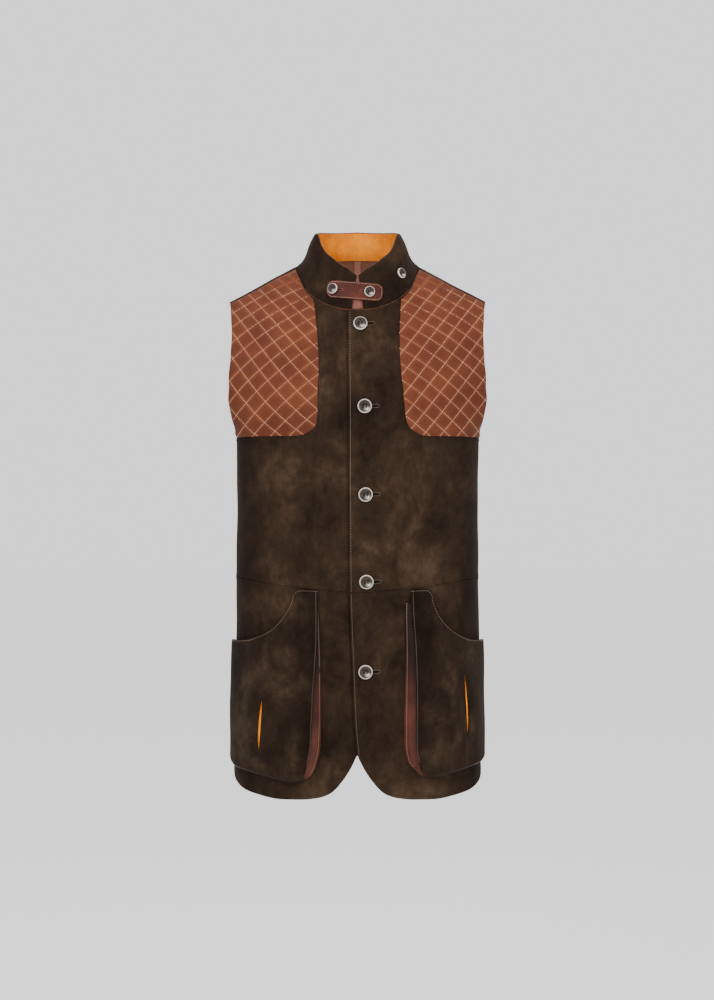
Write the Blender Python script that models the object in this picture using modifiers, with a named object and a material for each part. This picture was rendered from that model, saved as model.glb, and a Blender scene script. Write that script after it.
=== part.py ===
"""A suede shooting vest with quilted shoulder patches, filled out as worn, with no wearer.

Metres, +Z up, the front towards -Y.  Left and right are the wearer's, so left is +X.
The origin is the middle of the neck, level with the side neck points, where shoulders
carry the vest.

The cloth is drawn as a maker would cut it: every panel is an outline on one body form, and
every layer is the form's points moved out.  A place on the form is a turn and a height.
Turn 0 is the centre front, 1 the left side seam, 2 the centre back, 3 or -1 the right side
seam.
"""

import math
from bisect import bisect_right
from functools import lru_cache
from typing import NamedTuple

import bmesh
import bpy
from mathutils import Matrix, Vector
from mathutils.bvhtree import BVHTree

# Walls and gaps
SUEDE = 0.0016
LINING = 0.0010
SEAM_GAP = 0.0003
LAYER_GAP = 0.0005
LAY_REACH = 0.006
FRONT_LAP = SUEDE + LAYER_GAP

# The body
CHEST_Z = -0.262
ARMPIT_Z = -0.258
SIDE_NECK_X = 0.0945
SHOULDER_TIP_X = 0.1958

# The fronts' overlap
LAP_FADE_FROM = 0.024
LAP_FADE_TO = 0.052
UNDERLAP_X = 0.020

# Quilting
QUILT_CELL = 0.0215
QUILT_LOW = 0.0016
QUILT_PUFF = 0.0014
PATCH_SEAM_GAP = 0.0011
PATCH_WIDTH_FLAT = 0.245
PATCH_HEIGHT_FLAT = 0.270
PATCH_CORNER = 0.028

# Collar
COLLAR_RIM_X = 0.0655
COLLAR_RIM_Y = 0.064
COLLAR_RIM_MIDDLE_Y = -0.008
COLLAR_RIM_START_X = 0.0015
COLLAR_BASE_START_X = 0.009
COLLAR_FLARE = 0.049
COLLAR_SEAT = 0.0009
COLLAR_LAP_SEAT = 0.0006
COLLAR_KNOT = 2.5

# Throat tab
TAB_LENGTH = 0.085
TAB_WIDTH = 0.027
TAB_CORNER = 0.010
TAB_THICK = 0.0018
TAB_PROBE_X = 0.0095
TAB_MIDDLE = (-0.0042, -0.039)
TAB_TILT = math.radians(4.7)

# Pockets
POCKET_SIDE_TURN = 0.982
SLIT_HALF_WIDTH = 0.0035

# Buttons
BUTTON_RADIUS = 0.0105
BUTTON_HEIGHT = 0.0040
SMALL_BUTTON_RADIUS = 0.0080
SMALL_BUTTON_HEIGHT = 0.0032
BUTTON_SEAT = 0.0003


class Section(NamedTuple):
    """A level slice of the body form."""

    height: float
    half_width: float
    front_depth: float
    back_depth: float


SECTIONS = (
    Section(height=-0.830, half_width=0.1878, front_depth=0.113, back_depth=0.116),
    Section(height=-0.740, half_width=0.1870, front_depth=0.114, back_depth=0.116),
    Section(height=-0.620, half_width=0.1856, front_depth=0.116, back_depth=0.115),
    Section(height=-0.470, half_width=0.1836, front_depth=0.119, back_depth=0.114),
    Section(height=-0.360, half_width=0.1834, front_depth=0.120, back_depth=0.116),
    Section(height=-0.258, half_width=0.1838, front_depth=0.119, back_depth=0.118),
    Section(height=-0.2475, half_width=0.1892, front_depth=0.118, back_depth=0.118),
    Section(height=-0.2315, half_width=0.2010, front_depth=0.118, back_depth=0.118),
    Section(height=-0.202, half_width=0.2223, front_depth=0.118, back_depth=0.118),
    Section(height=-0.157, half_width=0.2552, front_depth=0.118, back_depth=0.117),
    Section(height=-0.096, half_width=0.2785, front_depth=0.118, back_depth=0.117),
    Section(height=0.080, half_width=0.2950, front_depth=0.118, back_depth=0.117),
)


class Ridge(NamedTuple):
    """The line over the shoulder where front and back meet."""

    across: float
    height: float


RIDGE = (
    Ridge(across=0.0, height=0.055),
    Ridge(across=0.035, height=0.050),
    Ridge(across=0.067, height=0.034),
    Ridge(across=SIDE_NECK_X, height=0.0034),
    Ridge(across=0.120, height=-0.0100),
    Ridge(across=SHOULDER_TIP_X, height=-0.0499),
    Ridge(across=0.300, height=-0.1050),
)


class Fullness(NamedTuple):
    """How much of the body's depth is reached at a drop below the shoulder line."""

    drop: float
    front: float
    back: float


FULLNESS = (
    Fullness(drop=0.000, front=0.00, back=0.00),
    Fullness(drop=0.010, front=0.13, back=0.25),
    Fullness(drop=0.025, front=0.26, back=0.49),
    Fullness(drop=0.050, front=0.42, back=0.71),
    Fullness(drop=0.080, front=0.55, back=0.83),
    Fullness(drop=0.120, front=0.68, back=0.92),
    Fullness(drop=0.160, front=0.79, back=0.97),
    Fullness(drop=0.210, front=0.90, back=0.995),
    Fullness(drop=0.260, front=0.97, back=1.00),
    Fullness(drop=0.310, front=1.00, back=1.00),
)


class Mark(NamedTuple):
    """A point of an outline, as seen from the front."""

    across: float
    height: float


FRONT_NECKLINE = (
    Mark(across=0.0, height=-0.0690),
    Mark(across=0.020, height=-0.0675),
    Mark(across=0.042, height=-0.0610),
    Mark(across=0.064, height=-0.0490),
    Mark(across=0.077, height=-0.0360),
    Mark(across=0.0875, height=-0.0134),
    Mark(across=SIDE_NECK_X, height=0.0034),
)
BACK_NECKLINE = (
    Mark(across=0.0, height=0.0226),
    Mark(across=0.035, height=0.0220),
    Mark(across=0.067, height=0.0145),
    Mark(across=0.085, height=0.0045),
    Mark(across=SIDE_NECK_X, height=0.0034),
)
FRONT_ARMHOLE = (
    Mark(across=0.1845, height=-0.2475),
    Mark(across=0.1890, height=-0.2315),
    Mark(across=0.1920, height=-0.2170),
    Mark(across=0.1943, height=-0.2020),
    Mark(across=0.1930, height=-0.1800),
    Mark(across=0.1910, height=-0.1340),
    Mark(across=0.1905, height=-0.0960),
    Mark(across=0.1930, height=-0.0660),
)
BACK_ARMHOLE = (
    Mark(across=0.1850, height=-0.2475),
    Mark(across=0.1885, height=-0.2260),
    Mark(across=0.1900, height=-0.1800),
    Mark(across=0.1890, height=-0.1340),
    Mark(across=0.1890, height=-0.0960),
    Mark(across=0.1925, height=-0.0660),
)
WAIST_SEAM = (
    Mark(across=0.0, height=-0.4907),
    Mark(across=0.090, height=-0.4824),
    Mark(across=0.190, height=-0.4690),
)
LEFT_FRONT_EDGE = (
    Mark(across=-0.0007, height=-0.7306),
    Mark(across=-0.0050, height=-0.6800),
    Mark(across=-0.0075, height=-0.6130),
    Mark(across=-0.0120, height=-0.4900),
    Mark(across=-0.0140, height=-0.0690),
)
HEM = (
    Mark(across=0.0000, height=-0.7306),
    Mark(across=0.0095, height=-0.7500),
    Mark(across=0.0230, height=-0.7706),
    Mark(across=0.0407, height=-0.7884),
    Mark(across=0.0585, height=-0.7950),
    Mark(across=0.0855, height=-0.7980),
    Mark(across=0.1130, height=-0.7985),
    Mark(across=0.1500, height=-0.7930),
    Mark(across=0.1695, height=-0.7877),
    Mark(across=0.1810, height=-0.7800),
)
UNDERLAP_HEM = (
    Mark(across=-UNDERLAP_X, height=-0.6980),
    Mark(across=-0.0110, height=-0.7180),
)
HEM_SIDE_Z = -0.7650
HEM_BACK_Z = -0.7570


class Rim(NamedTuple):
    """The collar's top edge: degrees round from the centre front, and its height."""

    degrees: float
    height: float


COLLAR_RIM = (
    Rim(degrees=0.0, height=-0.0170),
    Rim(degrees=14.0, height=-0.0050),
    Rim(degrees=24.0, height=0.0017),
    Rim(degrees=36.0, height=0.0120),
    Rim(degrees=47.0, height=0.0204),
    Rim(degrees=58.0, height=0.0338),
    Rim(degrees=69.0, height=0.0505),
    Rim(degrees=90.0, height=0.0545),
    Rim(degrees=125.0, height=0.0605),
    Rim(degrees=180.0, height=0.0645),
)


class PocketEdge(NamedTuple):
    """The pocket's front edge at a height: its seam on the body, its face, how far out."""

    height: float
    seam: float
    face: float
    out: float


class Pocket(NamedTuple):
    """One bellows pocket, by the side of the body that it is sewn to."""

    side: int
    edge: tuple
    bottom_z: float
    slit_x: float
    slit_top_z: float
    slit_bottom_z: float


RIGHT_POCKET = Pocket(
    side=-1,
    edge=(
        PocketEdge(height=-0.4860, seam=0.0590, face=0.0582, out=0.0024),
        PocketEdge(height=-0.5545, seam=0.0565, face=0.0585, out=0.0090),
        PocketEdge(height=-0.5970, seam=0.0545, face=0.0610, out=0.0150),
        PocketEdge(height=-0.6427, seam=0.0542, face=0.0643, out=0.0195),
        PocketEdge(height=-0.6765, seam=0.0545, face=0.0664, out=0.0210),
        PocketEdge(height=-0.7162, seam=0.0555, face=0.0690, out=0.0205),
        PocketEdge(height=-0.7400, seam=0.0600, face=0.0745, out=0.0190),
    ),
    bottom_z=-0.7680,
    slit_x=0.1420,
    slit_top_z=-0.645,
    slit_bottom_z=-0.730,
)
LEFT_POCKET = Pocket(
    side=1,
    edge=(
        PocketEdge(height=-0.4860, seam=0.0780, face=0.0786, out=0.0024),
        PocketEdge(height=-0.5100, seam=0.0712, face=0.0794, out=0.0075),
        PocketEdge(height=-0.5545, seam=0.0710, face=0.0825, out=0.0125),
        PocketEdge(height=-0.5970, seam=0.0708, face=0.0848, out=0.0170),
        PocketEdge(height=-0.6427, seam=0.0704, face=0.0860, out=0.0200),
        PocketEdge(height=-0.6765, seam=0.0700, face=0.0862, out=0.0210),
        PocketEdge(height=-0.7162, seam=0.0700, face=0.0866, out=0.0205),
        PocketEdge(height=-0.7380, seam=0.0735, face=0.0905, out=0.0190),
    ),
    bottom_z=-0.7620,
    slit_x=0.1610,
    slit_top_z=-0.607,
    slit_bottom_z=-0.708,
)


class Scoop(NamedTuple):
    """The pocket's mouth, by its share of the pocket's width, and how far it gapes."""

    share: float
    height: float
    out: float


POCKET_TOP = (
    Scoop(share=0.00, height=-0.4865, out=0.0024),
    Scoop(share=0.20, height=-0.4850, out=0.0026),
    Scoop(share=0.265, height=-0.4900, out=0.0034),
    Scoop(share=0.29, height=-0.5040, out=0.0055),
    Scoop(share=0.37, height=-0.5240, out=0.0090),
    Scoop(share=0.48, height=-0.5410, out=0.0115),
    Scoop(share=0.64, height=-0.5542, out=0.0115),
    Scoop(share=0.81, height=-0.5625, out=0.0090),
    Scoop(share=1.00, height=-0.5665, out=0.0062),
)


class Foot(NamedTuple):
    """The pocket's bottom edge, by its share of the width: its rise and how far out."""

    share: float
    rise: float
    out: float


POCKET_BOTTOM = (
    Foot(share=0.09, rise=0.0110, out=0.0180),
    Foot(share=0.19, rise=0.0015, out=0.0165),
    Foot(share=0.32, rise=0.0000, out=0.0160),
    Foot(share=0.55, rise=0.0060, out=0.0140),
    Foot(share=0.80, rise=0.0125, out=0.0105),
    Foot(share=0.95, rise=0.0165, out=0.0075),
)
POCKET_SIDE_FOOT_Z = -0.7380
POCKET_SIDE_OUT = 0.0062
GUSSET_DROP = 0.0055


class ButtonPlace(NamedTuple):
    """A front button's place, seen from the front."""

    across: float
    height: float


FRONT_BUTTONS = (
    ButtonPlace(across=0.0040, height=-0.0903),
    ButtonPlace(across=0.0105, height=-0.2144),
    ButtonPlace(across=0.0118, height=-0.3450),
    ButtonPlace(across=0.0131, height=-0.4741),
    ButtonPlace(across=0.0118, height=-0.6074),
)
TAB_BUTTON_SHARES = (-0.378, 0.262)
COLLAR_BUTTON = ButtonPlace(across=0.0655, height=-0.0105)


def smooth_steps(keys, values, at):
    """Reads a short table as a smooth curve that never overshoots its rows."""
    if at <= keys[0]:
        return values[0]
    if at >= keys[-1]:
        return values[-1]
    low = bisect_right(keys, at) - 1

    def chord(index):
        return (values[index + 1] - values[index]) / (keys[index + 1] - keys[index])

    def tangent(index):
        if index == 0:
            return chord(0)
        if index == len(keys) - 1:
            return chord(index - 1)
        before, after = chord(index - 1), chord(index)
        if before * after <= 0.0:
            return 0.0
        return 2.0 * before * after / (before + after)

    span = keys[low + 1] - keys[low]
    share = (at - keys[low]) / span
    bend = share * share * (3.0 - 2.0 * share)
    start = share * (1.0 - share) ** 2 * span * tangent(low)
    end = share * share * (share - 1.0) * span * tangent(low + 1)
    return values[low] + (values[low + 1] - values[low]) * bend + start + end


@lru_cache(maxsize=None)
def column_of(table, name):
    """One named column of a table."""
    return tuple(getattr(row, name) for row in table)


def read(table, key, column, at):
    """Reads one named column of a table at a value of another."""
    return smooth_steps(column_of(table, key), column_of(table, column), at)


def mix(first, last, share):
    """The value a share of the way between two."""
    return first + (last - first) * share


def fade(start, end, at):
    """A soft step from 0 to 1."""
    share = min(max((at - start) / (end - start), 0.0), 1.0)
    return share * share * (3.0 - 2.0 * share)


def solve(low, high, value_at, target):
    """Finds where a rising function meets a target."""
    for _ in range(24):
        middle = (low + high) / 2.0
        if value_at(middle) < target:
            low = middle
        else:
            high = middle
    return (low + high) / 2.0


def path(places):
    """A smooth curve through a few places on the form, as a function of 0 to 1 along it."""
    spots = [Vector(place) for place in places]
    travel = [0.0]
    for before, after in zip(spots, spots[1:]):
        step = form_point(after.x, after.y) - form_point(before.x, before.y)
        travel.append(travel[-1] + step.length)
    columns = list(zip(*[tuple(spot) for spot in spots]))

    def at(share):
        distance = share * travel[-1]
        return Vector([smooth_steps(travel, column, distance) for column in columns])

    return at


def coons(bottom, top, left, right):
    """A patch spread between four edge curves."""
    corners = (bottom(0.0), bottom(1.0), top(0.0), top(1.0))

    def at(u, v):
        rows = bottom(u) * (1.0 - v) + top(u) * v
        columns = left(v) * (1.0 - u) + right(v) * u
        low = corners[0] * (1.0 - u) + corners[1] * u
        high = corners[2] * (1.0 - u) + corners[3] * u
        return rows + columns - low * (1.0 - v) - high * v

    return at


# The body form

ROUND_POWER = 2.4
QUARTER_STEPS = 240


def quarter_of_body():
    """A quarter of a level slice of unit size, by its share of the way round."""
    shares, across, deep = [0.0], [0.0], [1.0]
    for step in range(1, QUARTER_STEPS + 1):
        angle = math.pi / 2.0 * step / QUARTER_STEPS
        out = math.sin(angle) ** (2.0 / ROUND_POWER)
        forward = max(math.cos(angle), 0.0) ** (2.0 / ROUND_POWER)
        length = math.hypot((out - across[-1]) * 0.184, (forward - deep[-1]) * 0.119)
        shares.append(shares[-1] + length)
        across.append(out)
        deep.append(forward)
    return [share / shares[-1] for share in shares], across, deep


QUARTER_SHARES, QUARTER_ACROSS, QUARTER_DEEP = quarter_of_body()


def look_up(keys, values, at):
    """Straight reading of a long table."""
    place = min(max(bisect_right(keys, at) - 1, 0), len(keys) - 2)
    share = (at - keys[place]) / (keys[place + 1] - keys[place])
    return mix(values[place], values[place + 1], share)


def shoulder_line(across):
    """Height of the line over the shoulder."""
    return read(RIDGE, "across", "height", abs(across))


def form_point(turn, height):
    """A point of the body form."""
    turn = turn % 4.0
    front = turn < 1.0 or turn > 3.0
    share = min(turn, 4.0 - turn) if front else abs(2.0 - turn)
    side = 1.0 if turn < 2.0 else -1.0
    width = read(SECTIONS, "height", "half_width", height)
    across = width * look_up(QUARTER_SHARES, QUARTER_ACROSS, share)
    deep = look_up(QUARTER_SHARES, QUARTER_DEEP, share)
    drop = shoulder_line(across) - height
    facing = "front" if front else "back"
    reached = read(FULLNESS, "drop", facing, max(drop, 0.0))
    if drop < 0.0:
        reached = drop * FULLNESS[1]._asdict()[facing] / FULLNESS[1].drop
    depth = read(SECTIONS, "height", facing + "_depth", height) * reached * deep
    return Vector((side * across, -depth if front else depth, height))


def form_normal(turn, height):
    """The form's outward direction."""
    step = 0.004
    round_it = form_point(turn + step, height) - form_point(turn - step, height)
    up_it = form_point(turn, height + 0.0015) - form_point(turn, height - 0.0015)
    return round_it.cross(up_it).normalized()


def cloth_point(turn, height, out):
    """A point of the form, moved out."""
    return form_point(turn, height) + form_normal(turn, height) * out


def turn_at(across, height, front=True):
    """The turn at which the form is this far across, front or back."""
    width = read(SECTIONS, "height", "half_width", height)
    share = look_up(QUARTER_ACROSS, QUARTER_SHARES, min(abs(across) / width, 1.0))
    side = 1.0 if across >= 0.0 else -1.0
    return side * share if front else 2.0 - side * share


def turn_facing(across, height, out):
    """The turn at which cloth that stands out is seen this far across from the front."""
    return solve(0.0, 1.0, lambda turn: cloth_point(turn, height, out).x, across)


def lap(across):
    """How much of the fronts' overlap is taken up at this distance from the middle."""
    return 1.0 - fade(LAP_FADE_FROM, LAP_FADE_TO, abs(across))


def front_out(side, across):
    """Where the inside of a front lies: the left one laps over the right one."""
    return side * FRONT_LAP / 2.0 * lap(across)


# Meshes

MODEL = bpy.data.collections.new("Suede shooting vest")


def material(name, colour, roughness):
    """A plain finish."""
    finish = bpy.data.materials.new(name)
    finish.use_nodes = True
    shader = finish.node_tree.nodes["Principled BSDF"]
    shader.inputs["Base Color"].default_value = (*colour, 1.0)
    shader.inputs["Roughness"].default_value = roughness
    shader.inputs["Metallic"].default_value = 0.0
    return finish


def add_object(name, mesh, finish):
    """Puts a mesh in the model under its name, with its own finish."""
    piece = bpy.data.objects.new(name, mesh)
    mesh.materials.append(material(name, *finish))
    mesh.shade_smooth()
    MODEL.objects.link(piece)
    return piece


def even(count):
    """Evenly spaced shares from 0 to 1."""
    return [step / count for step in range(count + 1)]


def grid(columns, rows, place):
    """A sheet of quads: place(u, v) gives each corner."""
    sheet = bmesh.new()
    across, up = len(columns) - 1, len(rows) - 1
    bmesh.ops.create_grid(sheet, x_segments=across, y_segments=up, size=0.5)
    for corner in sheet.verts:
        u = columns[round((corner.co.x + 0.5) * across)]
        v = rows[round((corner.co.y + 0.5) * up)]
        corner.co = place(u, v)
    return sheet


def cloth(name, sheet, thickness, finish, outward=True):
    """Gives a sheet its wall, outwards from it or inwards."""
    mesh = bpy.data.meshes.new(name)
    sheet.to_mesh(mesh)
    sheet.free()
    piece = add_object(name, mesh, finish)
    wall = piece.modifiers.new("Wall", "SOLIDIFY")
    wall.thickness = thickness
    wall.offset = 1.0 if outward else -1.0
    return piece


def skin_of(*pieces):
    """The faces of finished pieces, for laying other pieces on them."""
    bpy.context.view_layer.update()
    depsgraph = bpy.context.evaluated_depsgraph_get()
    return [BVHTree.FromObject(piece, depsgraph) for piece in pieces]


def lay_on(skins, point, outward, gap):
    """Moves a point along a direction until it clears the pieces below by a gap."""
    start = point + outward * LAY_REACH
    hits = [skin.ray_cast(start, -outward, 2.0 * LAY_REACH)[0] for skin in skins]
    found = [hit for hit in hits if hit is not None]
    if not found:
        return point
    top = max(found, key=lambda hit: (hit - point).dot(outward))
    return top + outward * gap


SUEDE_FINISH = ((0.042, 0.026, 0.016), 0.95)
QUILT_FINISH = ((0.25, 0.088, 0.050), 0.62)
ORANGE_FINISH = ((0.70, 0.27, 0.035), 0.9)
BROWN_FINISH = ((0.15, 0.055, 0.028), 0.6)
MAROON_FINISH = ((0.115, 0.036, 0.026), 0.55)
HORN_FINISH = ((0.10, 0.075, 0.055), 0.3)


# Fronts and back

SIDE_GAP_TURN = 0.0007
WAIST_ROWS = 7
CHEST_ROWS = 12
FRONT_COLUMNS = 18
NECK_SHARE = 10.0 / 18.0


def waist_seam(across):
    """Height of the waist seam."""
    return read(WAIST_SEAM, "across", "height", abs(across))


def waist_z(turn):
    """Height of the waist seam at a turn."""
    return waist_seam(form_point(turn, WAIST_SEAM[1].height).x)


def front_edge_x(side, height):
    """The front edge's distance past the middle, towards the other side."""
    if side > 0:
        return read(LEFT_FRONT_EDGE, "height", "across", height)
    return -UNDERLAP_X


def front_spot(across, height):
    """A place on the form's left front from a point seen from the front."""
    return Vector((turn_at(across, height), height))


def neckline_spot(degrees):
    """The neckline's place at an angle round from the centre front, on the left half."""
    across = SIDE_NECK_X * math.sin(math.radians(degrees))
    front = degrees <= 90.0
    table = FRONT_NECKLINE if front else BACK_NECKLINE
    height = read(table, "across", "height", abs(across))
    return Vector((turn_at(across, height, front), height))


def armhole(marks, front):
    """The armhole's edge as places, from the armpit to the shoulder tip."""
    seam = 1.0 - SIDE_GAP_TURN if front else 1.0 + SIDE_GAP_TURN
    spots = [(seam, CHEST_Z), (seam, ARMPIT_Z)]
    spots += [(turn_at(mark.across, mark.height, front), mark.height) for mark in marks]
    tip_z = shoulder_line(SHOULDER_TIP_X) - SEAM_GAP / 4.0
    spots.append((turn_at(SHOULDER_TIP_X, tip_z, front), tip_z))
    return path(spots)


def shoulder_seam(front):
    """The shoulder seam as places, from the neck to the tip."""
    spots = []
    for share in even(6):
        across = mix(SIDE_NECK_X, SHOULDER_TIP_X, share)
        height = shoulder_line(across) - SEAM_GAP / 4.0
        spots.append((turn_at(across, height, front), height))
    return path(spots)


def upper_front_map(side):
    """Places on the front above the chest line, from its edge to its armhole."""
    edge_x = front_edge_x(side, CHEST_Z)
    neck_x = front_edge_x(side, FRONT_NECKLINE[0].height)
    start = math.degrees(math.asin(neck_x / SIDE_NECK_X))
    neck = path([neckline_spot(mix(start, 90.0, share)) for share in even(24)])
    shoulder = shoulder_seam(True)

    def top(u):
        if u < NECK_SHARE:
            return neck(u / NECK_SHARE)
        return shoulder((u - NECK_SHARE) / (1.0 - NECK_SHARE))

    def bottom(u):
        return Vector((mix(turn_at(edge_x, CHEST_Z), 1.0 - SIDE_GAP_TURN, u), CHEST_Z))

    def left(v):
        height = mix(CHEST_Z, FRONT_NECKLINE[0].height, v)
        return front_spot(front_edge_x(side, height), height)

    return coons(bottom, top, left, armhole(FRONT_ARMHOLE, True))


def mirrored(side, sheet):
    """Turns a left piece into a right one."""
    if side < 0:
        bmesh.ops.transform(sheet, matrix=Matrix.Scale(-1.0, 4, (1.0, 0.0, 0.0)), verts=sheet.verts)
        bmesh.ops.reverse_faces(sheet, faces=sheet.faces)
    return sheet


def on_side(side, point):
    """A point or direction of the left half, on the left or the right."""
    return Vector((side * point.x, point.y, point.z))


def side_name(side):
    """The wearer's side."""
    return "left" if side > 0 else "right"


def upper_rows():
    """Row marks of an upper front: -1 to 0 below the chest line, 0 to 1 above it."""
    gap = PATCH_SEAM_GAP / 2.0 / PATCH_HEIGHT_FLAT
    low = [share - 1.0 for share in even(WAIST_ROWS)]
    first, last = PATCH_BOTTOM_V - gap, PATCH_TOP_V + gap
    high = [mix(first, last, 1.0 - (1.0 - share) ** 1.25) for share in even(CHEST_ROWS)]
    return low + high + [1.0]


def flat(u, v):
    """An upper front's share across and height as a flat place."""
    return u * PATCH_WIDTH_FLAT, v * PATCH_HEIGHT_FLAT


def unflat(spot):
    """A flat place as an upper front's share across and height."""
    return spot.x / PATCH_WIDTH_FLAT, spot.y / PATCH_HEIGHT_FLAT


def inside_lines(face, lines):
    """Whether a flat face lies at the patch's height and within its edge lines."""
    middle = face.calc_center_median()
    if not PATCH_BOTTOM_V * PATCH_HEIGHT_FLAT < middle.y < PATCH_TOP_V * PATCH_HEIGHT_FLAT:
        return False
    spot = Vector((middle.x, middle.y))
    return all((spot - point).dot(outward) < 0.0 for point, outward in lines)


def cut_patch_hole(sheet, outline):
    """Takes out of a flat sheet what the patch's edge lines enclose."""
    inside = [face for face in sheet.faces if inside_lines(face, [])]
    for count, (point, outward) in enumerate(outline, start=1):
        edges = {edge for face in inside for edge in face.edges}
        corners = {corner for face in inside for corner in face.verts}
        trim(sheet, point, outward, inside + list(edges) + list(corners), clear=False)
        inside = [face for face in sheet.faces if inside_lines(face, outline[:count])]
    bmesh.ops.delete(sheet, geom=inside, context="FACES")


def waist_top(side, share):
    """The turn along the waist seam, from the front edge to the side seam."""
    edge_z = WAIST_SEAM[0].height
    edge = turn_at(front_edge_x(side, edge_z), edge_z)
    return mix(edge, 1.0 - SIDE_GAP_TURN, share)


def upper_front_place(side):
    """Points of an upper front's inside by share across and height, below the chest too."""
    chest_map = upper_front_map(side)

    def place(u, v):
        if v >= 0.0:
            spot = chest_map(u, v)
        else:
            waist_turn = waist_top(side, u)
            height = mix(CHEST_Z, waist_z(waist_turn) + SEAM_GAP / 2.0, -v)
            spot = Vector((mix(chest_map(u, 0.0).x, waist_turn, -v), height))
        across = form_point(spot.x, spot.y).x
        return cloth_point(spot.x, spot.y, front_out(side, across))

    return place


def make_front_upper(edge):
    """The front from the waist seam to the shoulder, cut out where the quilted patch goes."""
    place = upper_front_place(edge.side)
    sheet = grid(even(FRONT_COLUMNS), upper_rows(), lambda u, v: Vector((*flat(u, v), 0.0)))
    cut_patch_hole(sheet, patch_outline(edge, PATCH_SEAM_GAP / 2.0))
    for corner in sheet.verts:
        corner.co = place(*unflat(corner.co))
    sheet = mirrored(edge.side, sheet)
    return cloth(f"front_upper_{side_name(edge.side)}", sheet, SUEDE, SUEDE_FINISH)


def lower_front_map(side):
    """Places on the front below the waist seam."""
    hem_marks = HEM if side > 0 else UNDERLAP_HEM + HEM
    hem_spots = [front_spot(mark.across, mark.height) for mark in hem_marks]
    hem_spots.append(Vector((1.0 - SIDE_GAP_TURN, HEM_SIDE_Z)))
    corner_z = hem_marks[0].height

    def top(u):
        turn = waist_top(side, u)
        return Vector((turn, waist_z(turn) - SEAM_GAP / 2.0))

    def left(v):
        height = mix(corner_z, top(0.0).y, v)
        return front_spot(front_edge_x(side, height), height)

    def right(v):
        return Vector((1.0 - SIDE_GAP_TURN, mix(HEM_SIDE_Z, top(1.0).y, v)))

    return coons(path(hem_spots), top, left, right)


def make_front_lower(side):
    """The front from the waist seam to the cutaway hem."""
    skirt_map = lower_front_map(side)

    def place(u, v):
        spot = skirt_map(u, v)
        across = form_point(spot.x, spot.y).x
        return cloth_point(spot.x, spot.y, front_out(side, across))

    sheet = mirrored(side, grid(even(FRONT_COLUMNS), even(11), place))
    return cloth(f"front_lower_{side_name(side)}", sheet, SUEDE, SUEDE_FINISH)


BACK_COLUMNS = 26
BACK_SHOULDER_SHARE = 5.0 / BACK_COLUMNS


def back_map():
    """Places on the back above the chest line, from the left side to the right."""
    neck = path([neckline_spot(mix(90.01, 180.0, share)) for share in even(24)])
    shoulder = shoulder_seam(False)
    arm = armhole(BACK_ARMHOLE, False)

    def flip(spot):
        return Vector((4.0 - spot.x, spot.y))

    def half_top(u):
        if u < BACK_SHOULDER_SHARE:
            return shoulder(1.0 - u / BACK_SHOULDER_SHARE)
        return neck((u - BACK_SHOULDER_SHARE) / (0.5 - BACK_SHOULDER_SHARE))

    def top(u):
        return half_top(u) if u <= 0.5 else flip(half_top(1.0 - u))

    def bottom(u):
        return Vector((mix(1.0 + SIDE_GAP_TURN, 3.0 - SIDE_GAP_TURN, u), CHEST_Z))

    return coons(bottom, top, arm, lambda v: flip(arm(v)))


def make_back():
    """The back, one panel from hem to shoulders."""
    chest_map = back_map()

    def place(u, v):
        if v >= 0.0:
            spot = chest_map(u, v)
        else:
            turn = mix(1.0 + SIDE_GAP_TURN, 3.0 - SIDE_GAP_TURN, u)
            hem_z = mix(HEM_BACK_Z, HEM_SIDE_Z, abs(2.0 - turn))
            spot = Vector((turn, mix(CHEST_Z, hem_z, -v)))
        return cloth_point(spot.x, spot.y, 0.0)

    low = [share - 1.0 for share in even(11)]
    high = [1.0 - (1.0 - share) ** 1.5 for share in even(11)]
    sheet = grid(even(BACK_COLUMNS), low[:-1] + high, place)
    return cloth("back", sheet, SUEDE, SUEDE_FINISH)


# Quilted shoulder patches


class PatchEdge(NamedTuple):
    """Where the patch's inner edge runs, near the neckline and near the bottom."""

    side: int
    top_x: float
    bottom_x: float
    lattice_shift: tuple


RIGHT_PATCH = PatchEdge(side=-1, top_x=0.0645, bottom_x=0.0592, lattice_shift=(0.004, 0.006))
LEFT_PATCH = PatchEdge(side=1, top_x=0.0640, bottom_x=0.0712, lattice_shift=(0.006, 0.002))
PATCH_TOP_V = 0.985
PATCH_BOTTOM_V = 0.012
CORNER_CUTS = 5


def patch_outline(edge, grow):
    """The patch's flat inner edge and round corner, as points with outward directions."""
    chest_map = upper_front_map(edge.side)
    bottom = PATCH_HEIGHT_FLAT * PATCH_BOTTOM_V

    def inner_spot(across, v):
        def across_at(u):
            spot = chest_map(u, v)
            return form_point(spot.x, spot.y).x

        return Vector(flat(solve(0.0, 1.0, across_at, across), v))

    low, high = inner_spot(edge.bottom_x, 0.15), inner_spot(edge.top_x, 0.95)
    along = (high - low).normalized()
    outward = Vector((-along.y, along.x))
    corner = low + along * ((bottom - low.y) / along.y)
    start = math.degrees(math.atan2(outward.y, outward.x)) % 360.0
    middle = math.radians((start + 270.0) / 2.0)
    reach = PATCH_CORNER / math.cos(math.radians((270.0 - start) / 2.0))
    centre = corner - Vector((math.cos(middle), math.sin(middle))) * reach
    lines = [(high + outward * grow, outward)]
    for step in range(1, CORNER_CUTS + 1):
        angle = math.radians(mix(start, 270.0, step / (CORNER_CUTS + 1.0)))
        away = Vector((math.cos(angle), math.sin(angle)))
        lines.append((centre + away * (PATCH_CORNER + grow), away))
    return lines


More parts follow.
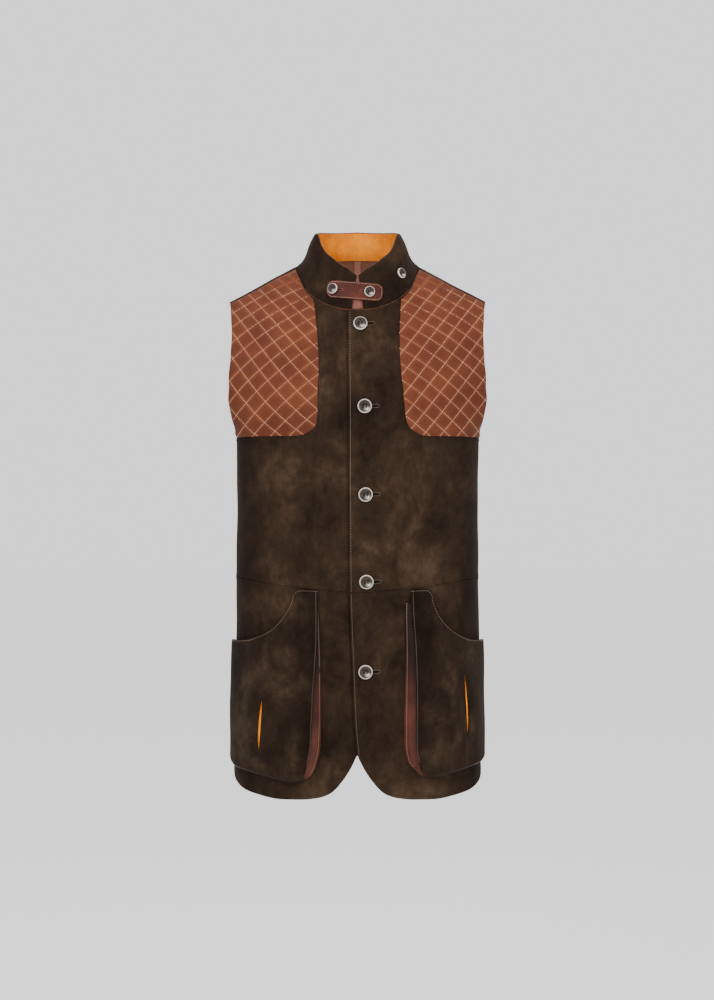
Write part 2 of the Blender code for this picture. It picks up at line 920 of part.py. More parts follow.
def quilt_share(spot, centre):
    """How far a flat place rises between the stitch lines: 0 on them, 1 in a cell's middle."""
    from_centre = Vector((spot.x, spot.y)) - centre
    diagonal = QUILT_CELL * math.sqrt(2.0)
    reach = 0.0
    for value in (from_centre.x + from_centre.y, from_centre.y - from_centre.x):
        place = value / diagonal
        reach = max(reach, abs(2.0 * (place - math.floor(place)) - 1.0))
    return 1.0 - reach


def quilt_lattice(centre):
    """Flat diamond cells, each with a middle point, with a crossing at the centre."""
    count = 20
    sheet = bmesh.new()
    half = count * QUILT_CELL / 2.0
    bmesh.ops.create_grid(sheet, x_segments=count, y_segments=count, size=half)
    bmesh.ops.poke(sheet, faces=sheet.faces)
    bmesh.ops.rotate(sheet, verts=sheet.verts, matrix=Matrix.Rotation(math.pi / 4.0, 3, "Z"))
    bmesh.ops.translate(sheet, verts=sheet.verts, vec=(centre.x, centre.y, 0.0))
    return sheet


def trim(sheet, point, outward, geometry=None, clear=True):
    """Cuts a flat sheet along a line, and clears what lies past it."""
    bmesh.ops.bisect_plane(
        sheet,
        geom=geometry or sheet.verts[:] + sheet.edges[:] + sheet.faces[:],
        plane_co=(point[0], point[1], 0.0),
        plane_no=(outward[0], outward[1], 0.0),
        clear_outer=clear,
        dist=1e-6,
    )


def make_patch(edge):
    """A diamond-quilted shoulder patch, puffed outside and plain inside."""
    chest_map = upper_front_map(edge.side)
    gap = PATCH_SEAM_GAP / 2.0
    centre = Vector(flat(0.72, 0.5)) + Vector(edge.lattice_shift)
    sheet = quilt_lattice(centre)
    trim(sheet, flat(1.0, 0.0), (1.0, 0.0))
    trim(sheet, (0.0, flat(0.0, PATCH_TOP_V)[1] - gap), (0.0, 1.0))
    trim(sheet, (0.0, flat(0.0, PATCH_BOTTOM_V)[1] + gap), (0.0, -1.0))
    for point, outward in patch_outline(edge, -gap):
        trim(sheet, point, outward)
    bmesh.ops.remove_doubles(sheet, verts=sheet.verts, dist=SEAM_GAP)
    heights = [
        0.0 if corner.is_boundary else quilt_share(corner.co, centre) for corner in sheet.verts
    ]
    for corner in sheet.verts:
        spot = chest_map(*unflat(corner.co))
        corner.co = cloth_point(spot.x, spot.y, 0.0)
    mirrored(edge.side, sheet)
    name = f"shoulder_patch_{side_name(edge.side)}"
    piece = cloth(name, sheet, QUILT_LOW + QUILT_PUFF, QUILT_FINISH)
    puff = piece.vertex_groups.new(name="Puff")
    for index, height in enumerate(heights):
        puff.add([index], height, "REPLACE")
    wall = piece.modifiers["Wall"]
    wall.vertex_group = puff.name
    wall.thickness_vertex_group = QUILT_LOW / (QUILT_LOW + QUILT_PUFF)
    return piece


# Collar


@lru_cache(maxsize=None)
def collar_base_knot(degrees):
    """The collar's bottom edge, just above the panels' outer edge."""
    spot = neckline_spot(degrees)
    here = cloth_point(spot.x, spot.y, SUEDE)
    before, after = (neckline_spot(degrees + step) for step in (-1.0, 1.0))
    along = cloth_point(after.x, after.y, SUEDE) - cloth_point(before.x, before.y, SUEDE)
    inward = along.cross(form_normal(spot.x, spot.y)).normalized()
    if inward.z < 0.0:
        inward.negate()
    return here + inward * (COLLAR_SEAT + COLLAR_LAP_SEAT * lap(here.x))


def collar_base(degrees):
    """The collar's bottom edge, between its knots."""
    low = min(math.floor(degrees / COLLAR_KNOT), round(180.0 / COLLAR_KNOT) - 1)
    share = degrees / COLLAR_KNOT - low
    return collar_base_knot(low * COLLAR_KNOT).lerp(collar_base_knot((low + 1) * COLLAR_KNOT), share)


def collar_rim(degrees):
    """The collar's top edge."""
    angle = math.radians(degrees)
    return Vector(
        (
            COLLAR_RIM_X * math.sin(angle),
            COLLAR_RIM_MIDDLE_Y - COLLAR_RIM_Y * math.cos(angle),
            read(COLLAR_RIM, "degrees", "height", degrees),
        )
    )


COLLAR_BASE_START = math.degrees(math.asin(COLLAR_BASE_START_X / SIDE_NECK_X))
COLLAR_RIM_START = math.degrees(math.asin(COLLAR_RIM_START_X / COLLAR_RIM_X))


def collar_surface(share, rise):
    """The collar's outer face on the left half: share 0 at the front, 1 at the back."""
    base = collar_base(mix(COLLAR_BASE_START, 180.0, share))
    rim = collar_rim(mix(COLLAR_RIM_START, 180.0, share))
    flare = COLLAR_FLARE * rise * (1.0 - rise) ** 3 * math.sin(math.pi * share)
    inward = Vector((-base.x, COLLAR_RIM_MIDDLE_Y - base.y, 0.0)).normalized()
    return base.lerp(rim, rise) + inward * flare


def collar_point(share, rise, out):
    """A point of the collar moved out from its outer face."""
    step = 0.01
    low, high = max(rise - step, 0.0), min(rise + step, 1.0)
    start, end = max(share - step, 0.0), min(share + step, 1.0)
    up_it = collar_surface(share, high) - collar_surface(share, low)
    round_it = collar_surface(end, rise) - collar_surface(start, rise)
    return collar_surface(share, rise) + round_it.cross(up_it).normalized() * out


def collar_spot(across, height):
    """The share and rise at which the collar's front is seen at a point."""
    rise = 0.5
    share = 0.1
    for _ in range(8):
        level = rise
        share = solve(0.0, 0.5, lambda value: collar_surface(value, level).x, abs(across))
        rise = solve(0.0, 1.0, lambda value: collar_surface(share, value).z, height)
    return share, rise


COLLAR_COLUMNS = 44


def collar_sheet(out, rise_from=0.0, rise_to=1.0, rows=3):
    """The whole collar's sheet, from its left end round the back to its right end."""

    def place(u, v):
        share = 2.0 * min(u, 1.0 - u)
        point = collar_point(share, mix(rise_from, rise_to, v), out)
        if u > 0.5:
            point.x = -point.x
        if abs(u - 0.5) < 1e-6:
            point.x = 0.0
        return point

    return grid(even(COLLAR_COLUMNS), even(rows), place)


def make_collar():
    """The stand collar's suede."""
    return cloth("collar", collar_sheet(0.0), SUEDE, SUEDE_FINISH, outward=False)


def make_collar_lining():
    """The orange suede inside the collar."""
    sheet = collar_sheet(-SUEDE - SEAM_GAP - 0.0001, 0.01, 0.99)
    return cloth("collar_lining", sheet, LINING, ORANGE_FINISH, outward=False)


# Inside the back neck

FACING_HALF_WIDTH = 0.082
FACING_BOTTOM_Z = -0.090
STRIP_HALF_WIDTH = 0.0048
STRIP_BOTTOM_Z = -0.050


def inside_back(name, half_width, bottom_z, carrier, across, up, finish):
    """A piece inside the back, from just under the neckline down."""
    skins = skin_of(carrier)

    def place(u, v):
        x = mix(half_width, -half_width, u)
        top_z = read(BACK_NECKLINE, "across", "height", abs(x)) - 0.0014
        height = mix(bottom_z, top_z, v)
        turn = turn_at(x, height, False)
        inward = -form_normal(turn, height)
        return lay_on(skins, form_point(turn, height) + inward * 0.0015, inward, LAYER_GAP)

    return cloth(name, grid(even(across), even(up), place), LINING, finish, outward=False)


# Pockets

POCKET_COLUMNS = 12
POCKET_ROWS = 12


def pocket_width(pocket):
    """The pocket's width seen from the front, from its inner top corner to its side."""
    side_x = cloth_point(POCKET_SIDE_TURN, POCKET_SIDE_FOOT_Z, POCKET_SIDE_OUT).x
    return side_x - pocket.edge[0].face


def pocket_edges(pocket):
    """The pocket face's four edges: turn, height and distance out."""
    width = pocket_width(pocket)
    inner_x = pocket.edge[0].face

    def seen(across, height, out):
        turn = min(turn_facing(across, height, out), POCKET_SIDE_TURN)
        return Vector((turn, height, out))

    top_rows = [seen(inner_x + row.share * width, row.height, row.out) for row in POCKET_TOP]
    side_top = Vector((POCKET_SIDE_TURN, POCKET_TOP[-1].height, POCKET_SIDE_OUT))
    side_foot = Vector((POCKET_SIDE_TURN, POCKET_SIDE_FOOT_Z, POCKET_SIDE_OUT))
    inner_rows = [seen(row.face, row.height, row.out) for row in pocket.edge[::-1]]
    foot_rows = [
        seen(inner_x + row.share * width, pocket.bottom_z + row.rise, row.out)
        for row in POCKET_BOTTOM
    ]
    bottom = path([inner_rows[0]] + foot_rows[1:] + [side_foot])
    top = path([inner_rows[-1]] + top_rows[1:-1] + [side_top])
    return bottom, top, path(inner_rows), path([side_foot, side_top])


def pocket_map(pocket):
    """Places on the pocket's face, with a soft belly between its edges."""
    spread = coons(*pocket_edges(pocket))

    def at(u, v):
        spot = spread(u, v)
        belly = 0.0035 * math.sin(math.pi * u) * math.sin(math.pi * v)
        return Vector((spot.x, spot.y, spot.z + belly))

    return at


def slit_share(pocket, face_map):
    """The column share at which the slit runs."""

    def seen_x(share):
        spot = face_map(share, 0.4)
        return cloth_point(spot.x, spot.y, spot.z).x

    return solve(0.0, 1.0, seen_x, pocket.slit_x)


def pocket_columns(slit):
    """Column shares with one column on the slit."""
    before = round(POCKET_COLUMNS * slit)
    low = [slit * share for share in even(before)]
    return low[:-1] + [mix(slit, 1.0, share) for share in even(POCKET_COLUMNS - before)]


SLIT_LINING_REACH = 0.085
SLIT_LINING_GAP = 0.0010
SLIT_LINING_LOW = 0.07
SLIT_LINING_HIGH = 0.85


def slit_half_width(pocket, height):
    """Half of how far the slit stands open at a height."""
    middle = (height - pocket.slit_bottom_z) / (pocket.slit_top_z - pocket.slit_bottom_z)
    if middle <= 0.0 or middle >= 1.0:
        return 0.0
    return SLIT_HALF_WIDTH * math.sin(math.pi * middle)


def make_pocket_face(pocket):
    """The pocket's front, with its scooped mouth and its slit."""
    face_map = pocket_map(pocket)
    slit = slit_share(pocket, face_map)
    rows = even(POCKET_ROWS)

    def place(u, v):
        spot = face_map(u, v)
        return cloth_point(spot.x, spot.y, spot.z)

    sheet = grid(pocket_columns(slit), rows, place)
    slit_spots = [place(slit, v) for v in rows]
    slit_rows = {row: slit_half_width(pocket, face_map(slit, v).y) for row, v in enumerate(rows)}
    open_rows = [row for row, width in slit_rows.items() if width > 0.0]
    ends = (min(open_rows) - 1, max(open_rows) + 1)

    def row_of(corner):
        for row in range(ends[0], ends[1] + 1):
            if (corner.co - slit_spots[row]).length < 1e-6:
                return row
        return None

    seam = [
        edge for edge in sheet.edges
        if row_of(edge.verts[0]) is not None and row_of(edge.verts[1]) is not None
    ]
    bmesh.ops.split_edges(sheet, edges=seam)
    for corner in sheet.verts:
        row = row_of(corner)
        if row is None or slit_rows[row] <= 0.0:
            continue
        middle = sum((face.calc_center_median() for face in corner.link_faces), Vector())
        middle /= len(corner.link_faces)
        outer = middle.x > corner.co.x
        around = (place(slit + 0.01, rows[row]) - corner.co).normalized()
        corner.co += around * (slit_rows[row] if outer else -slit_rows[row])
    return cloth(
        f"pocket_face_{side_name(pocket.side)}", mirrored(pocket.side, sheet), SUEDE, SUEDE_FINISH
    )


def make_slit_lining(pocket):
    """The orange suede just behind the slit."""
    face_map = pocket_map(pocket)
    slit = slit_share(pocket, face_map)

    def place(u, v):
        share = slit + mix(-SLIT_LINING_REACH, SLIT_LINING_REACH, u)
        spot = face_map(share, mix(SLIT_LINING_LOW, SLIT_LINING_HIGH, v))
        return cloth_point(spot.x, spot.y, spot.z - SLIT_LINING_GAP)

    sheet = mirrored(pocket.side, grid(even(4), even(POCKET_ROWS), place))
    name = f"slit_lining_{side_name(pocket.side)}"
    return cloth(name, sheet, LINING, ORANGE_FINISH, outward=False)


def gusset_curves(pocket):
    """The gusset's two long edges, from its top round the foot to the side's top."""
    face_map = pocket_map(pocket)
    inset = 0.012
    rows = pocket.edge
    on_body, on_face = [], []
    for row in rows:
        on_body.append((turn_facing(row.seam, row.height, SUEDE), row.height))
    width = pocket_width(pocket)
    for foot in POCKET_BOTTOM:
        height = pocket.bottom_z + foot.rise - GUSSET_DROP
        across = mix(rows[0].face - 0.002, rows[0].face + width, foot.share)
        on_body.append((min(turn_facing(across, height, SUEDE), 0.985), height))
    side_turn = 0.988
    on_body.append((side_turn, POCKET_SIDE_FOOT_Z - GUSSET_DROP))
    on_body.append((side_turn, POCKET_TOP[-1].height))
    for share in even(8):
        on_face.append(face_map(inset, mix(1.0, inset, share)))
    for share in even(8)[1:]:
        on_face.append(face_map(mix(inset, 1.0 - inset, share), inset))
    for share in even(6)[1:]:
        on_face.append(face_map(1.0 - inset, mix(inset, 1.0, share)))
    return path(on_body), path(on_face)


GUSSET_TOP_SHARE = 0.035
GUSSET_LIP_GAP = 0.0013
GUSSET_SEAT = 0.0009
GUSSET_ROWS = 30


def make_gusset(pocket, front):
    """The maroon bellows that joins the pocket's face to the body."""
    on_body, on_face = gusset_curves(pocket)
    skins = skin_of(front)

    def place(u, v):
        share = mix(GUSSET_TOP_SHARE, 1.0, v)
        low, high = on_body(share), on_face(share)
        outward = on_side(pocket.side, form_normal(low.x, low.y))
        seat = on_side(pocket.side, cloth_point(low.x, low.y, SUEDE))
        seat = on_side(pocket.side, lay_on(skins, seat, outward, GUSSET_SEAT))
        lip = cloth_point(high.x, high.y, max(high.z - GUSSET_LIP_GAP, SUEDE + 2.0 * LAYER_GAP))
        return seat.lerp(lip, u)

    sheet = grid(even(2), even(GUSSET_ROWS), place)
    bmesh.ops.reverse_faces(sheet, faces=sheet.faces)
    mirrored(pocket.side, sheet)
    return cloth(f"pocket_gusset_{side_name(pocket.side)}", sheet, LINING, MAROON_FINISH)


# Throat tab


def tab_half_width(along):
    """Half of the tab's width at a distance from its middle."""
    past = abs(along) - (TAB_LENGTH / 2.0 - TAB_CORNER)
    if past <= 0.0:
        return TAB_WIDTH / 2.0
    return TAB_WIDTH / 2.0 - TAB_CORNER + math.sqrt(max(TAB_CORNER**2 - past**2, 0.0))


def tab_seen(along, aside):
    """Where a flat place of the tab is seen from the front."""
    x = TAB_MIDDLE[0] + along * math.cos(TAB_TILT) + aside * math.sin(TAB_TILT)
    z = TAB_MIDDLE[1] - along * math.sin(TAB_TILT) + aside * math.cos(TAB_TILT)
    return x, z


def tab_point(along, aside, skins, out):
    """A point of the tab, laid on the collar and moved out."""
    x, z = tab_seen(along, aside)
    side = 1.0 if x >= 0.0 else -1.0
    probe = Vector((side * max(abs(x), TAB_PROBE_X), -0.0750, z))
    top = lay_on(skins, probe, Vector((0.0, -1.0, 0.0)), out)
    return Vector((x, top.y, z))


def make_throat_tab(collar):
    """The maroon tab across the collar's opening."""
    skins = skin_of(collar)
    turns = [math.sin(math.pi / 2.0 * (2.0 * share - 1.0)) for share in even(14)]
    columns = [(1.0 + turn) / 2.0 for turn in turns]

    def place(u, v):
        along = (u - 0.5) * TAB_LENGTH
        aside = (v - 0.5) * 2.0 * tab_half_width(along)
        return tab_point(along, aside, skins, LAYER_GAP + 0.0001)

    return cloth("throat_tab", grid(columns, even(4), place), TAB_THICK, MAROON_FINISH)


def make_throat_underlay():
    """The maroon piece that shows in the gap under the tab."""
    inset = -SUEDE - SEAM_GAP - LINING - LAYER_GAP - 0.0004

    def place(u, v):
        x = mix(-0.018, 0.018, u)
        z = mix(-0.0655, -0.030, v)
        share, rise = collar_spot(max(abs(x), 0.0095), z)
        return Vector((x, collar_point(share, rise, inset).y, z))

    sheet = grid(even(4), even(3), place)
    return cloth("throat_underlay", sheet, LINING, MAROON_FINISH, outward=False)


# Buttons


class Ring(NamedTuple):
    """A ring of the button's turned profile, in shares of its radius and height."""

    radius: float
    height: float


BUTTON_PROFILE = (
    Ring(radius=0.00, height=0.66),
    Ring(radius=0.60, height=0.66),
    Ring(radius=0.76, height=1.00),
    Ring(radius=0.93, height=0.92),
    Ring(radius=1.00, height=0.45),
    Ring(radius=0.86, height=0.00),
    Ring(radius=0.00, height=0.00),
)


def make_button(name, radius, height, seat, facing):
    """A turned button whose back rests at a point, facing a direction."""
    mesh = bpy.data.meshes.new(name)
    profile = [(ring.radius * radius, 0.0, ring.height * height) for ring in BUTTON_PROFILE]
    mesh.from_pydata(profile, [(i, i + 1) for i in range(len(profile) - 1)], [])
    piece = add_object(name, mesh, HORN_FINISH)
    turned = piece.modifiers.new("Turned", "SCREW")
    turned.steps = turned.render_steps = 16
    turned.use_merge_vertices = True
    turned.merge_threshold = 0.00001
    piece.location = seat
    piece.rotation_euler = facing.to_track_quat("Z", "Y").to_euler()
    return piece


def clear_seat(skins, middle, facing, radius):
    """The nearest place along a direction at which a round back clears the cloth below."""
    aside = facing.orthogonal().normalized()
    other = facing.cross(aside)
    highest = -LAY_REACH
    for reach in (0.0, 0.5 * radius, radius):
        for step in range(12):
            angle = math.tau * step / 12.0
            spot = middle + (aside * math.cos(angle) + other * math.sin(angle)) * reach
            top = lay_on(skins, spot, facing, 0.0)
            highest = max(highest, (top - middle).dot(facing))
    return middle + facing * (highest + BUTTON_SEAT)


def make_front_buttons(fronts):
    """The five buttons down the front, on the left front's outer face."""
    skins = skin_of(*fronts)
    for number, place in enumerate(FRONT_BUTTONS, start=1):
        turn = turn_at(place.across, place.height)
        facing = form_normal(turn, place.height)
        middle = cloth_point(turn, place.height, front_out(1, place.across) + SUEDE)
        seat = clear_seat(skins, middle, facing, BUTTON_RADIUS)
        make_button(f"button_{number}", BUTTON_RADIUS, BUTTON_HEIGHT, seat, facing)


def make_tab_buttons(tab):
    """The two small buttons on the throat tab."""
    skins = skin_of(tab)
    step = 0.003
    for side, share in zip(("right", "left"), TAB_BUTTON_SHARES):
        middle, left, right, low, high = (
            tab_point(share * TAB_LENGTH + along, aside, skins, 0.0)
            for along, aside in ((0.0, 0.0), (-step, 0.0), (step, 0.0), (0.0, -step), (0.0, step))
        )
        facing = (right - left).cross(high - low).normalized()
        seat = clear_seat(skins, middle, facing, SMALL_BUTTON_RADIUS)
        name = f"tab_button_{side}"
        make_button(name, SMALL_BUTTON_RADIUS, SMALL_BUTTON_HEIGHT, seat, facing)


def make_collar_button(collar):
    """The spare fastening button on the collar's left side."""
    share, rise = collar_spot(COLLAR_BUTTON.across, COLLAR_BUTTON.height)
    middle = collar_surface(share, rise)
    facing = (collar_point(share, rise, 1.0) - middle).normalized()
    seat = clear_seat(skin_of(collar), middle, facing, SMALL_BUTTON_RADIUS)
    make_button("collar_button", SMALL_BUTTON_RADIUS, SMALL_BUTTON_HEIGHT, seat, facing)


def clear_scene():
    """Removes the objects that a new file starts with."""
    for thing in list(bpy.context.scene.objects):
        bpy.data.objects.remove(thing, do_unlink=True)


def main():
    """Builds the vest."""
    clear_scene()
    bpy.context.scene.collection.children.link(MODEL)
    for edge in (LEFT_PATCH, RIGHT_PATCH):
        make_front_upper(edge)
        make_patch(edge)
    lowers = {side: make_front_lower(side) for side in (1, -1)}
    back = make_back()
    collar = make_collar()
    make_collar_lining()
    facing = inside_back(
        "neck_facing", FACING_HALF_WIDTH, FACING_BOTTOM_Z, back, 12, 5, BROWN_FINISH
    )
    inside_back("back_strip", STRIP_HALF_WIDTH, STRIP_BOTTOM_Z, facing, 1, 4, MAROON_FINISH)
    for pocket in (LEFT_POCKET, RIGHT_POCKET):
        make_pocket_face(pocket)
        make_slit_lining(pocket)
        make_gusset(pocket, lowers[pocket.side])
    tab = make_throat_tab(collar)
    make_throat_underlay()
    make_front_buttons([bpy.data.objects["front_upper_left"], lowers[1]])
    make_tab_buttons(tab)
    make_collar_button(collar)


main()
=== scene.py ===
"""A suede shooting vest with quilted shoulder patches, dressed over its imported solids.

Metres, +Z up, the front towards -Y.  Left and right are the wearer's, so left is +X.
The cloth repeats the solids' body form on a finer mesh.  A place on the form is a turn and
a height: turn 0 is the centre front, 1 the left side seam, 2 the centre back and 3 or -1 the
right side seam.
"""

import logging
import math
from collections.abc import Callable, Sequence
from dataclasses import dataclass
from enum import Enum
from functools import cache
from typing import NamedTuple

import bmesh
import bpy
import numpy as np
from mathutils import Matrix, Vector
from mathutils.bvhtree import BVHTree
from mathutils.kdtree import KDTree


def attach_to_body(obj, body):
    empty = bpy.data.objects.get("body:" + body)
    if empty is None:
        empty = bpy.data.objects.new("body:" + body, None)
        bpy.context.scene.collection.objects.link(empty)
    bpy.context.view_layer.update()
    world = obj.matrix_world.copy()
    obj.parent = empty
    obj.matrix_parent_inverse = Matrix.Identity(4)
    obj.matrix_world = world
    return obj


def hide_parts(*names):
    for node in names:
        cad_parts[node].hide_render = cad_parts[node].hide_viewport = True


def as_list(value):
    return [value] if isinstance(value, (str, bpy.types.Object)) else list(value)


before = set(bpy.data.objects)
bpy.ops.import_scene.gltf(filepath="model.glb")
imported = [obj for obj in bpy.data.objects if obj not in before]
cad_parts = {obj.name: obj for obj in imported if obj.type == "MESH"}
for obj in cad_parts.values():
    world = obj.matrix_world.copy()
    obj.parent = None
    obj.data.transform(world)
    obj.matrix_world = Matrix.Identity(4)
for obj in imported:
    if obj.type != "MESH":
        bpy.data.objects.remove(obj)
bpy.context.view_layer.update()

LOG = logging.getLogger("vest")
BODY = "root"

Array = np.ndarray
Numbers = Array | float
Lines = Sequence[Array]
Colour = tuple[float, float, float]
Piece = bpy.types.Object
Sheet = bmesh.types.BMesh
Socket = bpy.types.NodeSocket


def table(kind: type, *rows: tuple) -> tuple:
    """A table's rows, each of one kind."""
    return tuple(kind(*row) for row in rows)


# Walls and gaps
SUEDE = 0.0016
LINING = 0.001
SEAM_GAP = 0.0003
LAYER_GAP = 0.0005
FRONT_LAP = SUEDE + LAYER_GAP
LAY_REACH = 0.006

# The body
CHEST_Z = -0.262
ARMPIT_Z = -0.258
SIDE_NECK_X = 0.0945
SHOULDER_TIP_X = 0.1958

# The fronts' overlap
LAP_FADE_FROM = 0.024
LAP_FADE_TO = 0.052
UNDERLAP_X = 0.02

# Quilting
QUILT_LOW = 0.0016
QUILT_PUFF = 0.0014
PATCH_WIDTH_FLAT = 0.245
PATCH_HEIGHT_FLAT = 0.27
PATCH_CORNER = 0.028

# Collar
COLLAR_RIM_X = 0.0655
COLLAR_RIM_Y = 0.064
COLLAR_RIM_MIDDLE_Y = -0.008
COLLAR_RIM_START_X = 0.0015
COLLAR_BASE_START_X = 0.009
COLLAR_FLARE = 0.049
COLLAR_SEAT = 0.0009
COLLAR_LAP_SEAT = 0.0006
COLLAR_KNOT = 2.5

# Throat tab
TAB_LENGTH = 0.085
TAB_WIDTH = 0.027
TAB_CORNER = 0.01
TAB_THICK = 0.0018
TAB_PROBE_X = 0.0095
TAB_MIDDLE = (-0.0042, -0.039)
TAB_TILT = math.radians(4.7)

# Pockets
POCKET_SIDE_TURN = 0.982
SLIT_HALF_WIDTH = 0.0035

# Buttons
BUTTON_RADIUS = 0.0105
BUTTON_HEIGHT = 0.004
SMALL_BUTTON_RADIUS = 0.008
SMALL_BUTTON_HEIGHT = 0.0032
BUTTON_SEAT = 0.0003


class Mark(NamedTuple):
    """A point as seen from the front."""

    across: float
    height: float


class Section(NamedTuple):
    """A level slice of the body form."""

    height: float
    half_width: float
    front_depth: float
    back_depth: float


SECTIONS = table(
    Section, (-0.83, 0.1878, 0.113, 0.116), (-0.74, 0.187, 0.114, 0.116),
    (-0.62, 0.1856, 0.116, 0.115), (-0.47, 0.1836, 0.119, 0.114), (-0.36, 0.1834, 0.12, 0.116),
    (-0.258, 0.1838, 0.119, 0.118), (-0.2475, 0.1892, 0.118, 0.118), (-0.2315, 0.201, 0.118, 0.118),
    (-0.202, 0.2223, 0.118, 0.118), (-0.157, 0.2552, 0.118, 0.117), (-0.096, 0.2785, 0.118, 0.117),
    (0.08, 0.295, 0.118, 0.117),
)


# The line over the shoulder where front and back meet
RIDGE = table(
    Mark, (0.0, 0.055), (0.035, 0.05), (0.067, 0.034), (SIDE_NECK_X, 0.0034), (0.12, -0.01),
    (SHOULDER_TIP_X, -0.0499), (0.3, -0.105),
)


class Fullness(NamedTuple):
    """How much of the body's depth is reached at a drop below the shoulder line."""

    drop: float
    front: float
    back: float


FULLNESS = table(
    Fullness, (0.0, 0.0, 0.0), (0.01, 0.13, 0.25), (0.025, 0.26, 0.49), (0.05, 0.42, 0.71),
    (0.08, 0.55, 0.83), (0.12, 0.68, 0.92), (0.16, 0.79, 0.97), (0.21, 0.9, 0.995),
    (0.26, 0.97, 1.0), (0.31, 1.0, 1.0),
)


FRONT_NECKLINE = table(
    Mark, (0.0, -0.069), (0.02, -0.0675), (0.042, -0.061), (0.064, -0.049), (0.077, -0.036),
    (0.0875, -0.0134), (SIDE_NECK_X, 0.0034),
)
BACK_NECKLINE = table(
    Mark, (0.0, 0.0226), (0.035, 0.022), (0.067, 0.0145), (0.085, 0.0045), (SIDE_NECK_X, 0.0034),
)
FRONT_ARMHOLE = table(
    Mark, (0.1845, -0.2475), (0.189, -0.2315), (0.192, -0.217), (0.1943, -0.202),
    (0.193, -0.18), (0.191, -0.134), (0.1905, -0.096), (0.193, -0.066),
)
BACK_ARMHOLE = table(
    Mark, (0.185, -0.2475), (0.1885, -0.226), (0.19, -0.18), (0.189, -0.134),
    (0.189, -0.096), (0.1925, -0.066),
)
WAIST_SEAM = table(
    Mark, (0.0, -0.4907), (0.09, -0.4824), (0.19, -0.469),
)
LEFT_FRONT_EDGE = table(
    Mark, (-0.0007, -0.7306), (-0.005, -0.68), (-0.0075, -0.613), (-0.012, -0.49),
    (-0.014, -0.069),
)
HEM = table(
    Mark, (0.0, -0.7306), (0.0095, -0.75), (0.023, -0.7706), (0.0407, -0.7884),
    (0.0585, -0.795), (0.0855, -0.798), (0.113, -0.7985), (0.15, -0.793), (0.1695, -0.7877),
    (0.181, -0.78),
)
UNDERLAP_HEM = table(
    Mark, (-UNDERLAP_X, -0.698), (-0.011, -0.718),
)
HEM_SIDE_Z = -0.765
HEM_BACK_Z = -0.757


class Rim(NamedTuple):
    """The collar's top edge: degrees round from the centre front, and its height."""

    degrees: float
    height: float


COLLAR_RIM = table(
    Rim, (0.0, -0.017), (14.0, -0.005), (24.0, 0.0017), (36.0, 0.012), (47.0, 0.0204),
    (58.0, 0.0338), (69.0, 0.0505), (90.0, 0.0545), (125.0, 0.0605), (180.0, 0.0645),
)


class PocketEdge(NamedTuple):
    """The pocket's front edge at a height: its seam on the body, its face, how far out."""

    height: float
    seam: float
    face: float
    out: float


class Pocket(NamedTuple):
    """One bellows pocket, by the side of the body that it is sewn to."""

    side: int
    edge: tuple
    bottom_z: float
    slit_x: float
    slit_top_z: float
    slit_bottom_z: float


RIGHT_POCKET = Pocket(
    side=-1,
    edge=table(
        PocketEdge, (-0.486, 0.059, 0.0582, 0.0024), (-0.5545, 0.0565, 0.0585, 0.009),
        (-0.597, 0.0545, 0.061, 0.015), (-0.6427, 0.0542, 0.0643, 0.0195),
        (-0.6765, 0.0545, 0.0664, 0.021), (-0.7162, 0.0555, 0.069, 0.0205),
        (-0.74, 0.06, 0.0745, 0.019),
    ),
    bottom_z=-0.768,
    slit_x=0.142,
    slit_top_z=-0.645,
    slit_bottom_z=-0.73,
)
LEFT_POCKET = Pocket(
    side=1,
    edge=table(
        PocketEdge, (-0.486, 0.078, 0.0786, 0.0024), (-0.51, 0.0712, 0.0794, 0.0075),
        (-0.5545, 0.071, 0.0825, 0.0125), (-0.597, 0.0708, 0.0848, 0.017),
        (-0.6427, 0.0704, 0.086, 0.02), (-0.6765, 0.07, 0.0862, 0.021),
        (-0.7162, 0.07, 0.0866, 0.0205), (-0.738, 0.0735, 0.0905, 0.019),
    ),
    bottom_z=-0.762,
    slit_x=0.161,
    slit_top_z=-0.607,
    slit_bottom_z=-0.708,
)


class Scoop(NamedTuple):
    """The pocket's mouth, by its share of the pocket's width, and how far it gapes."""

    share: float
    height: float
    out: float


POCKET_TOP = table(
    Scoop, (0.0, -0.4865, 0.0024), (0.2, -0.485, 0.0026), (0.265, -0.49, 0.0034),
    (0.29, -0.504, 0.0055), (0.37, -0.524, 0.009), (0.48, -0.541, 0.0115), (0.64, -0.5542, 0.0115),
    (0.81, -0.5625, 0.009), (1.0, -0.5665, 0.0062),
)


class Foot(NamedTuple):
    """The pocket's bottom edge, by its share of the width: its rise and how far out."""

    share: float
    rise: float
    out: float


POCKET_BOTTOM = table(
    Foot, (0.09, 0.011, 0.018), (0.19, 0.0015, 0.0165), (0.32, 0.0, 0.016),
    (0.55, 0.006, 0.014), (0.8, 0.0125, 0.0105), (0.95, 0.0165, 0.0075),
)
POCKET_SIDE_FOOT_Z = -0.738
POCKET_SIDE_OUT = 0.0062


FRONT_BUTTONS = table(
    Mark, (0.004, -0.0903), (0.0105, -0.2144), (0.0118, -0.345), (0.0131, -0.4741),
    (0.0118, -0.6074),
)
TAB_BUTTON_SHARES = (-0.378, 0.262)
COLLAR_BUTTON = Mark(0.0655, -0.0105)


SOLVE_STEPS = 26


